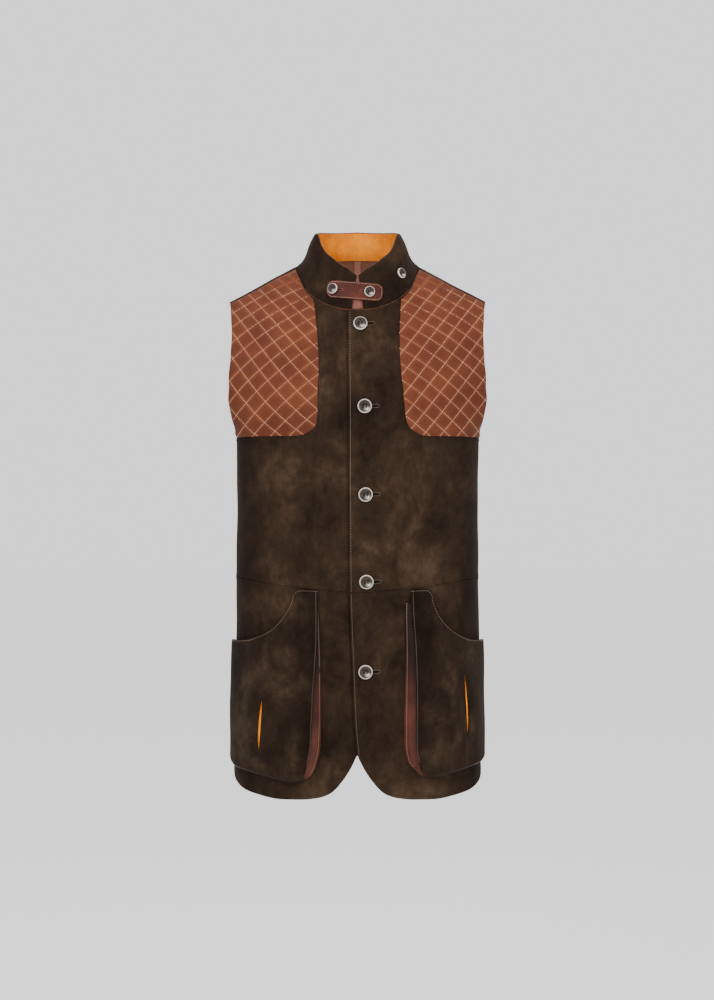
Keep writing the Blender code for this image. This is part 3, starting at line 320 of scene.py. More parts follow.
class Curve:
    """A smooth curve through a short table, which never overshoots its rows."""

    def __init__(self, keys: Sequence[float], values: Sequence) -> None:
        """Takes the rows' rising keys and the number, or several, at each."""
        self.keys = np.asarray(keys, float)
        rows = np.asarray(values, float)
        self.single = rows.ndim == 1
        self.values = rows[:, None] if self.single else rows
        chords = np.diff(self.values, axis=0) / np.diff(self.keys)[:, None]
        before, after = chords[:-1], chords[1:]
        same_way = before * after > 0.0
        total = np.where(same_way, before + after, 1.0)
        inner = np.where(same_way, 2.0 * before * after / total, 0.0)
        self.slopes = np.vstack([chords[:1], inner, chords[-1:]])

    def __call__(self, at: Numbers) -> Array:
        """Reads the curve at one or many positions."""
        at = np.clip(np.asarray(at, float), self.keys[0], self.keys[-1])
        flat = at.ravel()
        low = np.clip(np.searchsorted(self.keys, flat, side="right") - 1, 0, len(self.keys) - 2)
        span = self.keys[low + 1] - self.keys[low]
        share = (flat - self.keys[low]) / span
        bend = share**2 * (3.0 - 2.0 * share)
        start = share * (1.0 - share) ** 2 * span
        end = share**2 * (share - 1.0) * span
        rise = self.values[low + 1] - self.values[low]
        result = self.values[low] + rise * bend[:, None]
        result += start[:, None] * self.slopes[low] + end[:, None] * self.slopes[low + 1]
        return result.reshape(at.shape if self.single else (*at.shape, -1))


def curve_of(table: Sequence[NamedTuple], key: str, column: str) -> Curve:
    """A curve through one named column of a table, against another."""
    return Curve([getattr(row, key) for row in table], [getattr(row, column) for row in table])


def mix(first, last, share):
    """The value a share of the way between two."""
    return first + (last - first) * share


def fade(start: float, end: float, at: Numbers) -> Array:
    """A soft step from 0 to 1."""
    share = np.clip((np.asarray(at, float) - start) / (end - start), 0.0, 1.0)
    return share * share * (3.0 - 2.0 * share)


def solve(low: float, high: float, value_at: Callable, target: Array) -> Array:
    """Finds where a rising function of arrays meets each target, between low and high."""
    target = np.asarray(target, float)
    lows, highs = np.full(target.shape, low), np.full(target.shape, high)
    for _ in range(SOLVE_STEPS):
        middle = (lows + highs) / 2.0
        under = value_at(middle) < target
        lows, highs = np.where(under, middle, lows), np.where(under, highs, middle)
    return (lows + highs) / 2.0


def floats(*values: Numbers) -> list[Array]:
    """Values as arrays of one shape."""
    return np.broadcast_arrays(*(np.asarray(value, float) for value in values))


def pairs(turn: Numbers, height: Numbers) -> Array:
    """Turns and heights side by side, as places."""
    return np.stack(floats(turn, height), axis=-1)


def unit(vectors: Array) -> Array:
    """Vectors brought to length 1."""
    length = np.linalg.norm(vectors, axis=-1, keepdims=True)
    return vectors / np.where(length > 0.0, length, 1.0)


def spread(bottom: Callable, top: Callable, left: Callable, right: Callable) -> Callable:
    """A patch spread between four edge curves, as a function of (u, v)."""
    corners = [edge(np.array([share]))[0] for edge in (bottom, top) for share in (0.0, 1.0)]

    def at(u: Array, v: Array) -> Array:
        u, v = floats(u, v)
        shape = u.shape
        u, v = u.ravel(), v.ravel()
        across, up = u[:, None], v[:, None]
        rows = bottom(u) * (1.0 - up) + top(u) * up
        columns = left(v) * (1.0 - across) + right(v) * across
        low = corners[0] * (1.0 - across) + corners[1] * across
        high = corners[2] * (1.0 - across) + corners[3] * across
        return (rows + columns - low * (1.0 - up) - high * up).reshape((*shape, -1))

    return at


# The body form


class BodyForm:
    """The filled-out body that every cloth piece is drawn on."""

    ROUND_POWER = 2.4
    QUARTER_STEPS = 240
    MEAN_HALF_WIDTH = 0.184
    MEAN_DEPTH = 0.119

    def __init__(self) -> None:
        """Reads the tables of sections, ridge and fullness."""
        self.half_width = curve_of(SECTIONS, "height", "half_width")
        self.front_depth = curve_of(SECTIONS, "height", "front_depth")
        self.back_depth = curve_of(SECTIONS, "height", "back_depth")
        self.front_full = curve_of(FULLNESS, "drop", "front")
        self.back_full = curve_of(FULLNESS, "drop", "back")
        self.ridge = curve_of(RIDGE, "across", "height")
        angle = np.linspace(0.0, math.pi / 2.0, self.QUARTER_STEPS + 1)
        self.across = np.sin(angle) ** (2.0 / self.ROUND_POWER)
        self.deep = np.clip(np.cos(angle), 0.0, 1.0) ** (2.0 / self.ROUND_POWER)
        steps = np.hypot(
            np.diff(self.across) * self.MEAN_HALF_WIDTH, np.diff(self.deep) * self.MEAN_DEPTH
        )
        self.shares = np.concatenate([[0.0], np.cumsum(steps)]) / steps.sum()

    def shoulder_line(self, across: Numbers) -> Array:
        """Height of the line over the shoulder."""
        return self.ridge(np.abs(across))

    def point(self, turn: Array, height: Array) -> Array:
        """Points of the form, at turns and heights."""
        turn, height = floats(turn, height)
        turn = turn % 4.0
        front = (turn < 1.0) | (turn > 3.0)
        share = np.where(front, np.minimum(turn, 4.0 - turn), np.abs(2.0 - turn))
        side = np.where(turn < 2.0, 1.0, -1.0)
        across = self.half_width(height) * np.interp(share, self.shares, self.across)
        deep = np.interp(share, self.shares, self.deep)
        drop = self.shoulder_line(across) - height
        full = np.where(front, self.front_full(drop), self.back_full(drop))
        first = FULLNESS[1]
        above = drop * np.where(front, first.front, first.back) / first.drop
        full = np.where(drop < 0.0, above, full)
        depth = np.where(front, self.front_depth(height), self.back_depth(height)) * full * deep
        return np.stack([side * across, np.where(front, -depth, depth), height], axis=-1)

    def normal(self, turn: Array, height: Array) -> Array:
        """The form's outward directions."""
        step, rise = 0.004, 0.0015
        turn, height = np.asarray(turn, float), np.asarray(height, float)
        round_it = self.point(turn + step, height) - self.point(turn - step, height)
        up_it = self.point(turn, height + rise) - self.point(turn, height - rise)
        return unit(np.cross(round_it, up_it))

    def place(self, turn: Array, height: Array, out: Numbers) -> Array:
        """Points of the form, moved out."""
        out = np.asarray(out, float)
        return self.point(turn, height) + self.normal(turn, height) * out[..., None]

    def turn_at(
        self, across: Array, height: Array, front: Array | bool = True
    ) -> Array:
        """The turns at which the form is this far across, at the front or the back."""
        across, height = np.asarray(across, float), np.asarray(height, float)
        reach = np.clip(np.abs(across) / self.half_width(height), 0.0, 1.0)
        share = np.interp(reach, self.across, self.shares)
        side = np.where(across >= 0.0, 1.0, -1.0)
        return np.where(front, side * share, 2.0 - side * share)

    def seen(self, across: Numbers, height: Numbers, front: Array | bool = True) -> Array:
        """The places of points that are seen from the front, or from the back."""
        return pairs(self.turn_at(across, height, front), height)

    def turn_facing(self, across: Array, height: Array, out: Array) -> Array:
        """The left turns at which cloth that stands out is seen this far across."""
        return solve(0.0, 1.0, lambda turn: self.place(turn, height, out)[..., 0], across)

    def path(self, places: Sequence) -> Callable:
        """A smooth curve through places, as a function of the share of the way along it."""
        rows = np.asarray(places, float)
        spots = self.point(rows[:, 0], rows[:, 1])
        steps = np.linalg.norm(np.diff(spots, axis=0), axis=1)
        travel = np.concatenate([[0.0], np.cumsum(steps)])
        curve = Curve(travel, rows)
        return lambda share: curve(np.asarray(share, float) * travel[-1])

    def neckline(self, degrees: Array) -> Array:
        """The neckline's places at angles round from the centre front, on the left half."""
        degrees = np.asarray(degrees, float)
        across = SIDE_NECK_X * np.sin(np.radians(degrees))
        front = degrees <= 90.0
        front_z = curve_of(FRONT_NECKLINE, "across", "height")(np.abs(across))
        back_z = curve_of(BACK_NECKLINE, "across", "height")(np.abs(across))
        height = np.where(front, front_z, back_z)
        return self.seen(across, height, front)


FORM = BodyForm()
SIDE_GAP_TURN = 0.0007


def lap(across: Array) -> Array:
    """How much of the fronts' overlap is taken up at this distance from the middle."""
    return 1.0 - fade(LAP_FADE_FROM, LAP_FADE_TO, np.abs(across))


def waist_seam(across: Array) -> Array:
    """Height of the waist seam."""
    return curve_of(WAIST_SEAM, "across", "height")(np.abs(across))


def waist_z(turn: Array) -> Array:
    """Height of the waist seam at a turn."""
    return waist_seam(FORM.point(turn, WAIST_SEAM[1].height)[..., 0])


def sided(base: str, side: int) -> str:
    """A name with the wearer's side."""
    return base + ("_left" if side > 0 else "_right")


def on_side(points: Array, side: int) -> Array:
    """Points of the left half, on the left or the right."""
    return points * np.array([side, 1.0, 1.0])


def armhole(marks: Sequence[Mark], front: bool) -> Callable:
    """The armhole's edge as places, from the armpit to the shoulder tip."""
    seam = 1.0 - SIDE_GAP_TURN if front else 1.0 + SIDE_GAP_TURN
    tip = Mark(SHOULDER_TIP_X, float(FORM.shoulder_line(SHOULDER_TIP_X)) - SEAM_GAP / 4.0)
    spots = [FORM.seen(*mark, front) for mark in (*marks, tip)]
    return FORM.path([(seam, CHEST_Z), (seam, ARMPIT_Z), *spots])


def shoulder_seam(front: bool) -> Callable:
    """The shoulder seam as places, from the neck to the tip."""
    across = np.linspace(SIDE_NECK_X, SHOULDER_TIP_X, 7)
    height = FORM.shoulder_line(across) - SEAM_GAP / 4.0
    return FORM.path(FORM.seen(across, height, front))


# Soft folds


class Fold(NamedTuple):
    """A soft trough (or a ridge, if its depth is negative) seen from the front or the back."""

    start: tuple[float, float]
    end: tuple[float, float]
    width: float
    depth: float


FRONT_FOLDS = table(
    Fold, ((-0.15, -0.3), (-0.168, -0.36), 0.014, 0.0016),
    ((-0.12, -0.262), (-0.165, -0.315), 0.012, 0.0012),
    ((0.128, -0.268), (0.166, -0.322), 0.013, 0.0014),
    ((0.15, -0.3), (0.17, -0.375), 0.011, 0.001),
    ((-0.15, -0.438), (-0.098, -0.462), 0.016, 0.0015),
    ((-0.09, -0.452), (-0.05, -0.478), 0.012, 0.0012),
    ((0.06, -0.462), (0.118, -0.44), 0.014, 0.0014),
    ((0.11, -0.47), (0.16, -0.452), 0.011, 0.001),
    ((-0.03, -0.13), (-0.04, -0.21), 0.01, 0.0009),
    ((0.04, -0.11), (0.046, -0.2), 0.01, 0.0009),
    ((-0.036, -0.5), (-0.028, -0.61), 0.01, 0.0011),
    ((-0.03, -0.63), (-0.02, -0.72), 0.009, 0.001),
    ((0.04, -0.5), (0.046, -0.6), 0.01, 0.0011),
    ((0.034, -0.64), (0.042, -0.73), 0.01, 0.0012),
    ((-0.06, -0.775), (-0.1, -0.782), 0.008, -0.0008),
    ((0.06, -0.778), (0.11, -0.784), 0.008, -0.0008),
)
BACK_FOLDS = table(
    Fold, ((-0.14, -0.235), (-0.165, -0.33), 0.014, 0.0016),
    ((0.142, -0.228), (0.166, -0.318), 0.013, 0.0015),
    ((-0.11, -0.43), (-0.03, -0.452), 0.016, 0.0015),
    ((0.02, -0.47), (0.12, -0.442), 0.015, 0.0014),
    ((-0.06, -0.56), (-0.07, -0.72), 0.016, 0.0013),
    ((0.07, -0.54), (0.082, -0.7), 0.016, 0.0014),
    ((-0.05, -0.06), (-0.09, -0.17), 0.014, 0.0011),
    ((0.056, -0.052), (0.094, -0.16), 0.014, 0.0012),
)


class Wave(NamedTuple):
    """One slow ripple of the cloth: waves per metre across and up, its start and its height."""

    across: float
    up: float
    start: float
    height: float


SLOW_WAVES = table(
    Wave, (6.1, 3.7, 0.4, 0.00035), (-9.3, 5.9, 2.1, 0.00025), (13.7, -7.1, 4.0, 0.00018),
    (3.3, 11.9, 5.2, 0.0002),
)


def fold_out(points: Array) -> Array:
    """How far the folds and ripples move the cloth out at points of the form."""
    across, height = points[..., 0], points[..., 2]
    moved = np.zeros(across.shape)
    for wave in SLOW_WAVES:
        turns = wave.across * across + wave.up * height
        moved += wave.height * np.sin(math.tau * turns + wave.start)
    for folds, shown in ((FRONT_FOLDS, points[..., 1] < 0.0), (BACK_FOLDS, points[..., 1] >= 0.0)):
        for fold in folds:
            start, end = np.array(fold.start), np.array(fold.end)
            along = end - start
            from_start = np.stack([across - start[0], height - start[1]], axis=-1)
            share = np.clip(from_start @ along / (along @ along), 0.0, 1.0)
            away = from_start - share[..., None] * along
            near = np.exp(-((away**2).sum(axis=-1)) / fold.width**2)
            taper = np.sin(math.pi * np.clip(share, 0.04, 0.96)) ** 0.5
            moved -= np.where(shown, fold.depth * near * taper, 0.0)
    return moved


# Finishes


class Shader:
    """One material's nodes, built in few words."""

    def __init__(self, name: str, roughness: float) -> None:
        """Starts a named material with a Principled shader."""
        self.material = bpy.data.materials.new(name)
        self.material.use_nodes = True
        self.tree = self.material.node_tree
        self.surface = self.tree.nodes["Principled BSDF"]
        self.surface.inputs["Roughness"].default_value = roughness
        self.place = self.node("TexCoord", {}).outputs["Object"]

    def node(self, kind: str, inputs: dict, **settings: str) -> bpy.types.ShaderNode:
        """A new node.

        Args:
            kind: Its kind, without "ShaderNode" in front.
            inputs: A value, or the socket that is joined, for each input.
            settings: Its other settings.

        Returns:
            The node.
        """
        node = self.tree.nodes.new("ShaderNode" + kind)
        for name, setting in settings.items():
            setattr(node, name, setting)
        for key, value in inputs.items():
            if isinstance(value, Socket):
                self.tree.links.new(value, node.inputs[key])
            else:
                node.inputs[key].default_value = value
        return node

    def stretched(self, scale: Colour) -> Socket:
        """Object coordinates, scaled along each axis."""
        return self.node("Mapping", {"Scale": scale, "Vector": self.place}).outputs["Vector"]

    def noise(
        self, scale: float, detail: float, roughness: float = 0.5,
        vector: Socket | None = None, distortion: float = 0.0,
    ) -> Socket:
        """A noise pattern, in waves per metre, read at a vector or the object's own place."""
        inputs = {
            "Scale": scale, "Detail": detail, "Roughness": roughness,
            "Distortion": distortion, "Vector": vector or self.place,
        }
        return self.node("TexNoise", inputs).outputs["Fac"]

    def cells(self, scale: float) -> Socket:
        """Distance to the nearest grain cell."""
        return self.node("TexVoronoi", {"Scale": scale, "Vector": self.place}).outputs["Distance"]

    def ramp(self, value: Socket, stops: Sequence[tuple]) -> Socket:
        """Colours read along a value: each stop is (position, colour)."""
        ramp = self.node("ValToRGB", {"Fac": value})
        elements = ramp.color_ramp.elements
        while len(elements) < len(stops):
            elements.new(0.5)
        for element, (position, colour) in zip(elements, stops):
            element.position, element.color = position, (*colour, 1.0)
        return ramp.outputs["Color"]

    def span(self, value: Socket, start: tuple, end: tuple) -> Socket:
        """Maps a value from one range to another, held at its ends."""
        names = ("From Min", "From Max", "To Min", "To Max")
        return self.node("MapRange", {"Value": value, **dict(zip(names, start + end))}).outputs[0]

    def blend(self, kind: str, factor: Socket | float, first: Socket, last: Colour) -> Socket:
        """Blends a colour with a fixed one or with another socket's."""
        last = (*last, 1.0) if isinstance(last, tuple) else last
        inputs = {0: factor, 6: first, 7: last}
        return self.node("Mix", inputs, data_type="RGBA", blend_type=kind).outputs[2]

    def overlay(self, amount: float, tone: Socket, pattern: Socket) -> Socket:
        """Works a pattern into a colour."""
        greys = self.ramp(pattern, ((0.3, (0.25,) * 3), (0.7, (0.75,) * 3)))
        return self.blend("OVERLAY", amount, tone, greys)

    def attribute(self, name: str) -> Socket:
        """A value kept on the mesh's points."""
        return self.node("Attribute", {}, attribute_name=name).outputs["Fac"]

    def darken(self, tone: Socket, attribute: str, most: float, colour: Colour) -> Socket:
        """Darkens a colour by a value kept on the mesh's points."""
        share = self.span(self.attribute(attribute), (0.0, 1.0), (0.0, most))
        return self.blend("MULTIPLY", share, tone, colour)

    def give(self, name: str, socket: Socket) -> None:
        """Joins a socket to one of the surface's inputs."""
        self.tree.links.new(socket, self.surface.inputs[name])

    def bump(self, *heights: tuple[Socket, float]) -> None:
        """Raises the surface by patterns: each is (value, metres)."""
        below = {}
        for height, distance in heights:
            inputs = {"Strength": 1.0, "Distance": distance, "Height": height, **below}
            below = {"Normal": self.node("Bump", inputs).outputs["Normal"]}
        self.give("Normal", below["Normal"])


SEAM_ATTRIBUTE = "seam"
PUFF_ATTRIBUTE = "puff"
# Painted shade kept on the mesh's points: round to the sides, at the collar's foot, on the patches,
# pocket faces and gussets
PAINTED_SHADE_ATTRIBUTE = "side"
SHADOW_ATTRIBUTE = "shadow"
# The button's pale rim, together with a painted highlight spot
RIM_AND_HIGHLIGHT_ATTRIBUTE = "rim"


@dataclass(frozen=True)
class Suede:
    """Napped suede: mottled by hand-rubbed patches, dull, with a soft sheen."""

    name: str
    dark: Colour
    middle: Colour
    light: Colour
    sheen: float = 0.03
    patch_scale: float = 13.0
    seam_light: Colour = (0.06, 0.038, 0.023)
    rub_scale: float = 75.0
    rub_depth: float = 0.0011
    fibre_scale: float = 1400.0
    fibre_depth: float = 0.00022
    groove_depth: float = 0.0004
    # The colour that the painted shade darkens towards
    painted_shade_dark: Colour = (0.3, 0.24, 0.21)
    shadow_dark: Colour = (0.2, 0.17, 0.15)

    def make(self) -> bpy.types.Material:
        """Builds the material."""
        shader = Shader(self.name, 0.92)
        stretch = shader.stretched((1.0, 1.0, 0.8))
        patches = shader.noise(self.patch_scale, 6.0, 0.66, stretch, 0.35)
        stops = ((0.33, self.dark), (0.52, self.middle), (0.72, self.light))
        tone = shader.ramp(patches, stops)
        rubbed = shader.noise(self.rub_scale, 6.0, 0.75, shader.stretched((1.0, 1.0, 0.7)), 0.3)
        tone = shader.overlay(0.6, tone, rubbed)
        fibres = shader.noise(self.fibre_scale, 3.0, 0.7)
        tone = shader.overlay(0.35, tone, fibres)
        seam = shader.attribute(SEAM_ATTRIBUTE)
        worn = shader.span(seam, (0.0, 0.0028), (0.1, 0.0))
        inputs = {0: worn, 1: shader.span(rubbed, (0.35, 0.65), (0.25, 1.0))}
        worn = shader.node("Math", inputs, operation="MULTIPLY").outputs[0]
        tone = shader.blend("MIX", worn, tone, self.seam_light)
        # Painted shade: darker wherever the points' painted shade value says, such as round to the
        # sides
        tone = shader.darken(tone, PAINTED_SHADE_ATTRIBUTE, 0.85, self.painted_shade_dark)
        tone = shader.darken(tone, SHADOW_ATTRIBUTE, 0.75, self.shadow_dark)
        shader.give("Base Color", tone)
        groove = shader.span(seam, (0.0, 0.0022), (0.0, 1.0))
        depths = (self.groove_depth, self.rub_depth, self.fibre_depth)
        shader.bump(*zip((groove, rubbed, fibres), depths))
        surface = shader.surface
        surface.inputs["Specular IOR Level"].default_value = 0.06
        surface.inputs["Sheen Weight"].default_value = self.sheen
        surface.inputs["Sheen Roughness"].default_value = 0.45
        surface.inputs["Sheen Tint"].default_value = (0.75, 0.62, 0.5, 1.0)
        return shader.material


@dataclass(frozen=True)
class Leather:
    """Smooth leather: fine grain, cloudy dye and a soft gloss."""

    name: str
    dark: Colour
    light: Colour
    roughness: float = 0.5
    grain: float = 0.00012
    # Painted shade in the quilting's furrows, along the stitch lines
    painted_furrow_shade: Colour = (0.5, 0.4, 0.36)
    painted_shade_dark: Colour = (0.1, 0.08, 0.07)
    cloud_scale: float = 22.0
    pore_scale: float = 1300.0
    crease_scale: float = 170.0
    crease_depth: float = 0.0003

    def make(self) -> bpy.types.Material:
        """Builds the material."""
        shader = Shader(self.name, self.roughness)
        clouds = shader.noise(self.cloud_scale, 5.0, 0.6)
        tone = shader.ramp(clouds, ((0.32, self.dark), (0.66, self.light)))
        pores = shader.cells(self.pore_scale)
        pitted = shader.ramp(pores, ((0.0, (0.6,) * 3), (0.35, (1.0,) * 3)))
        tone = shader.blend("MULTIPLY", 0.35, tone, pitted)
        # Painted shade: darker towards the quilting's stitch lines
        puff = shader.span(shader.attribute(PUFF_ATTRIBUTE), (-0.16, 0.0), (0.0, 0.85))
        tone = shader.blend("MULTIPLY", puff, tone, self.painted_furrow_shade)
        # Painted shade: darker where the points' painted shade value says
        tone = shader.darken(tone, PAINTED_SHADE_ATTRIBUTE, 0.95, self.painted_shade_dark)
        shader.give("Base Color", tone)
        creases = shader.noise(self.crease_scale, 4.0, 0.6)
        ends = (self.roughness - 0.06, self.roughness + 0.1)
        shader.give("Roughness", shader.span(creases, (0.3, 0.7), ends))
        shader.bump((creases, self.crease_depth), (pores, self.grain))
        shader.surface.inputs["Specular IOR Level"].default_value = 0.14
        return shader.material


@dataclass(frozen=True)
class Thread:
    """Twisted sewing thread."""

    name: str
    colour: Colour
    roughness: float = 0.75

    def make(self) -> bpy.types.Material:
        """Builds the material."""
        shader = Shader(self.name, self.roughness)
        dye = shader.noise(900.0, 2.0)
        darker = tuple(0.72 * part for part in self.colour)
        shader.give("Base Color", shader.ramp(dye, ((0.35, darker), (0.6, self.colour))))
        shader.bump((shader.noise(3800.0, 1.0), 0.00008))
        shader.surface.inputs["Specular IOR Level"].default_value = 0.08
        return shader.material


@dataclass(frozen=True)
class Horn:
    """Polished horn with a pale worn rim."""

    name: str
    dark: Colour
    middle: Colour
    rim: Colour

    def make(self) -> bpy.types.Material:
        """Polished horn with a pale rim and a painted highlight."""
        shader = Shader(self.name, 0.3)
        streaks = shader.noise(190.0, 5.0, 0.6, shader.stretched((1.0, 1.0, 2.4)), 1.2)
        tone = shader.ramp(streaks, ((0.34, self.dark), (0.68, self.middle)))
        rim = shader.attribute(RIM_AND_HIGHLIGHT_ATTRIBUTE)
        # The rim colour also paints the highlight spot kept with the rim on the points
        shader.give("Base Color", shader.blend("MIX", rim, tone, self.rim))
        shader.give("Roughness", shader.span(streaks, (0.3, 0.7), (0.2, 0.34)))
        shader.bump((streaks, 0.00006))
        shader.surface.inputs["Specular IOR Level"].default_value = 0.12
        return shader.material


class Finish(Enum):
    """The vest's finishes."""

    SUEDE = Suede("brown suede", (0.0092, 0.005, 0.003), (0.0225, 0.013, 0.0074),
                  (0.05, 0.031, 0.018))
    POCKET = Suede("brown pocket suede", (0.0064, 0.0034, 0.002), (0.0155, 0.0088, 0.0052),
                   (0.04, 0.025, 0.0146))
    WRONG_SIDE = Suede("suede wrong side", (0.02, 0.012, 0.0075), (0.036, 0.0225, 0.014),
                       (0.052, 0.034, 0.022), seam_light=(0.052, 0.034, 0.022))
    ORANGE = Suede("orange suede", (0.6, 0.16, 0.004), (0.8, 0.225, 0.005),
                   (0.92, 0.31, 0.012), 0.02, 20.0, (0.84, 0.27, 0.02))
    QUILT = Leather("quilted rust leather", (0.122, 0.0305, 0.0112), (0.186, 0.053, 0.02), 0.66)
    # Painted light: the facing's colour is brightened to stand in for light, since it lies in shade
    # inside the back neck
    BROWN = Leather("brown facing leather", (0.42, 0.21, 0.135), (0.6, 0.34, 0.225), 0.6)
    MAROON = Leather("maroon leather", (0.052, 0.011, 0.007), (0.13, 0.031, 0.018), 0.5)
    GUSSET = Leather("rust gusset leather", (0.06, 0.018, 0.011), (0.145, 0.05, 0.031), 0.6)
    # Painted light: the strip's colour is brightened to stand in for light, since it lies in shade
    # inside the back neck
    STRIP = Leather("rose strip leather", (0.74, 0.38, 0.3), (0.9, 0.52, 0.43), 0.55)
    UNDERLAY = Leather("rose underlay leather", (0.22, 0.088, 0.07), (0.34, 0.148, 0.117), 0.55)
    PIPING = Leather("rose piping leather", (0.085, 0.03, 0.022), (0.15, 0.056, 0.042), 0.5)
    LIP = Leather("dark slit lip", (0.006, 0.0034, 0.0024), (0.015, 0.009, 0.0062), 0.7)
    PALE_THREAD = Thread("pale quilting thread", (0.86, 0.52, 0.35))
    WHITE_THREAD = Thread("cream thread", (0.5, 0.32, 0.25))
    BROWN_THREAD = Thread("brown thread", (0.019, 0.011, 0.007))
    EDGE_THREAD = Thread("tan edge thread", (0.34, 0.25, 0.18))
    LIP_THREAD = Thread("tan buttonhole thread", (0.11, 0.075, 0.052))
    TAB_LIP = Thread("rose buttonhole thread", (0.2, 0.075, 0.055))
    HORN = Horn("polished horn", (0.011, 0.008, 0.0064), (0.052, 0.04, 0.033), (0.6, 0.53, 0.46))
    # Painted shade: a near-black cord stands in for the shade inside each buttonhole's open slit
    HOLE_PAINTED_SHADE = Thread("dark buttonhole", (0.004, 0.0025, 0.002), 0.9)


@cache
def material(finish: Finish) -> bpy.types.Material:
    """A finish's material, made when it is first asked for."""
    return finish.value.make()


# Meshes


def even(count: int) -> Array:
    """Evenly spaced shares from 0 to 1."""
    return np.linspace(0.0, 1.0, count + 1)


def stand(name: str, data: bpy.types.ID) -> Piece:
    """A new object in the scene."""
    piece = bpy.data.objects.new(name, data)
    bpy.context.scene.collection.objects.link(piece)
    return piece


def flat_grid(columns: Array, rows: Array) -> Sheet:
    """A flat sheet of quads with its corners at the given columns and rows."""
    sheet = bmesh.new()
    across, up = len(columns) - 1, len(rows) - 1
    bmesh.ops.create_grid(sheet, x_segments=across, y_segments=up, size=0.5)
    for corner in sheet.verts:
        column = columns[round((corner.co.x + 0.5) * across)]
        corner.co = (column, rows[round((corner.co.y + 0.5) * up)], 0.0)
    return sheet


def trim(
    sheet: Sheet, point: Sequence[float], outward: Sequence[float], geometry: list | None = None
) -> None:
    """Cuts a flat sheet along a line and clears what lies past it.

    Args:
        sheet: The flat sheet.
        point: A point of the line.
        outward: The direction that points past the line.
        geometry: What is only cut, with nothing cleared.
    """
    bmesh.ops.bisect_plane(
        sheet, geom=geometry or sheet.verts[:] + sheet.edges[:] + sheet.faces[:],
        plane_co=(point[0], point[1], 0.0), plane_no=(outward[0], outward[1], 0.0),
        clear_outer=geometry is None, dist=1e-6,
    )


def corner_places(sheet: Sheet) -> Array:
    """The flat places of a sheet's corners."""
    return np.array([corner.co[:2] for corner in sheet.verts])


class Cloth:
    """A sheet of cloth on its way to being a finished piece."""

    def __init__(self, name: str, sheet: Sheet, points: Array, side: int = 1) -> None:
        """Moves a flat sheet's corners to their places.

        Args:
            name: The piece's name.
            sheet: The flat sheet, which is freed.
            points: Each corner's place, on the left half.
            side: 1 for the left half or the middle, -1 for the right half.
        """
        mesh = bpy.data.meshes.new(name)
        sheet.to_mesh(mesh)
        sheet.free()
        self.points = on_side(points, side)
        mesh.vertices.foreach_set("co", self.points.astype(np.float32).ravel())
        if side < 0:
            mesh.flip_normals()
        mesh.update()
        self.piece = stand(name, mesh)

    def value(self, name: str, values: Array) -> "Cloth":
        """Keeps a number on each corner, for the material."""
        keep(self.piece.data, name, values)
        return self

    def seams(self, lines: Lines) -> "Cloth":
        """Keeps each corner's distance to the nearest of some lines."""
        return self.value(SEAM_ATTRIBUTE, nearest(lines, self.points))

    def wall(
        self, thickness: float, outside: Finish, inside: Finish, outward: bool = True,
        share: Array | None = None, least: float = 0.0,
    ) -> Piece:
        """Gives the sheet its thickness and its finishes.

        Args:
            thickness: The wall's greatest thickness.
            outside: The finish of the outer face and the edges.
            inside: The finish of the inner face.
            outward: Whether the wall grows outwards from the sheet.
            share: How much of the thickness each corner takes, or all of it.
            least: The smallest share of the thickness.

        Returns:
            The piece, as a plain closed mesh.
        """
        piece = self.piece
        wall = piece.modifiers.new("Wall", "SOLIDIFY")
        wall.thickness = thickness
        wall.offset = 1.0 if outward else -1.0
        if share is not None:
            group = piece.vertex_groups.new(name="Share")
            for index, amount in enumerate(share):
                group.add([index], float(amount), "REPLACE")
            wall.vertex_group = group.name
            wall.thickness_vertex_group = least
        mesh = plain_mesh(piece)
        count = len(piece.data.polygons)
        piece.modifiers.clear()
        piece.vertex_groups.clear()
        inner = np.zeros(len(mesh.polygons), np.int32)
        inner[count:2 * count] = 1
        piece.data = mesh
        cover(mesh, outside, inside)
        mesh.polygons.foreach_set("material_index", inner)
        smooth(mesh)
        return piece


def keep(mesh: bpy.types.Mesh, name: str, values: Array) -> None:
    """Keeps a number on each point of a mesh."""
    attribute = mesh.attributes.new(name, "FLOAT", "POINT")
    attribute.data.foreach_set("value", np.asarray(values, np.float32))


def cover(mesh: bpy.types.Mesh, *finishes: Finish) -> None:
    """Gives a mesh its finishes."""
    mesh.materials.clear()
    for finish in finishes:
        mesh.materials.append(material(finish))


def tree_of(points: Array) -> KDTree:
    """Points, ready for finding the nearest."""
    tree = KDTree(len(points))
    for index, point in enumerate(points):
        tree.insert(point, index)
    tree.balance()
    return tree


def nearest(lines: Lines, points: Array) -> Array:
    """Each point's distance to the nearest of some lines."""
    tree = tree_of(np.vstack([dense(line) for line in lines]))
    return np.array([tree.find(point)[2] for point in points])


def smooth(mesh: bpy.types.Mesh, sharp: float = 52.0) -> None:
    """Shades a mesh smooth, but for its sharp edges."""
    mesh.shade_smooth()
    mesh.set_sharp_from_angle(angle=math.radians(sharp))
    mesh.update()


def plain_mesh(piece: Piece) -> bpy.types.Mesh:
    """A piece's evaluated mesh."""
    bpy.context.view_layer.update()
    depsgraph = bpy.context.evaluated_depsgraph_get()
    return bpy.data.meshes.new_from_object(piece.evaluated_get(depsgraph))


def dense(line: Array, step: float = 0.001) -> Array:
    """A line's points, at most a step apart."""
    lengths = np.linalg.norm(np.diff(line, axis=0), axis=1)
    travel = np.concatenate([[0.0], np.cumsum(lengths)])
    at = np.linspace(0.0, travel[-1], max(int(travel[-1] / step), 1) + 1)
    return np.stack([np.interp(at, travel, line[:, axis]) for axis in range(3)], axis=1)


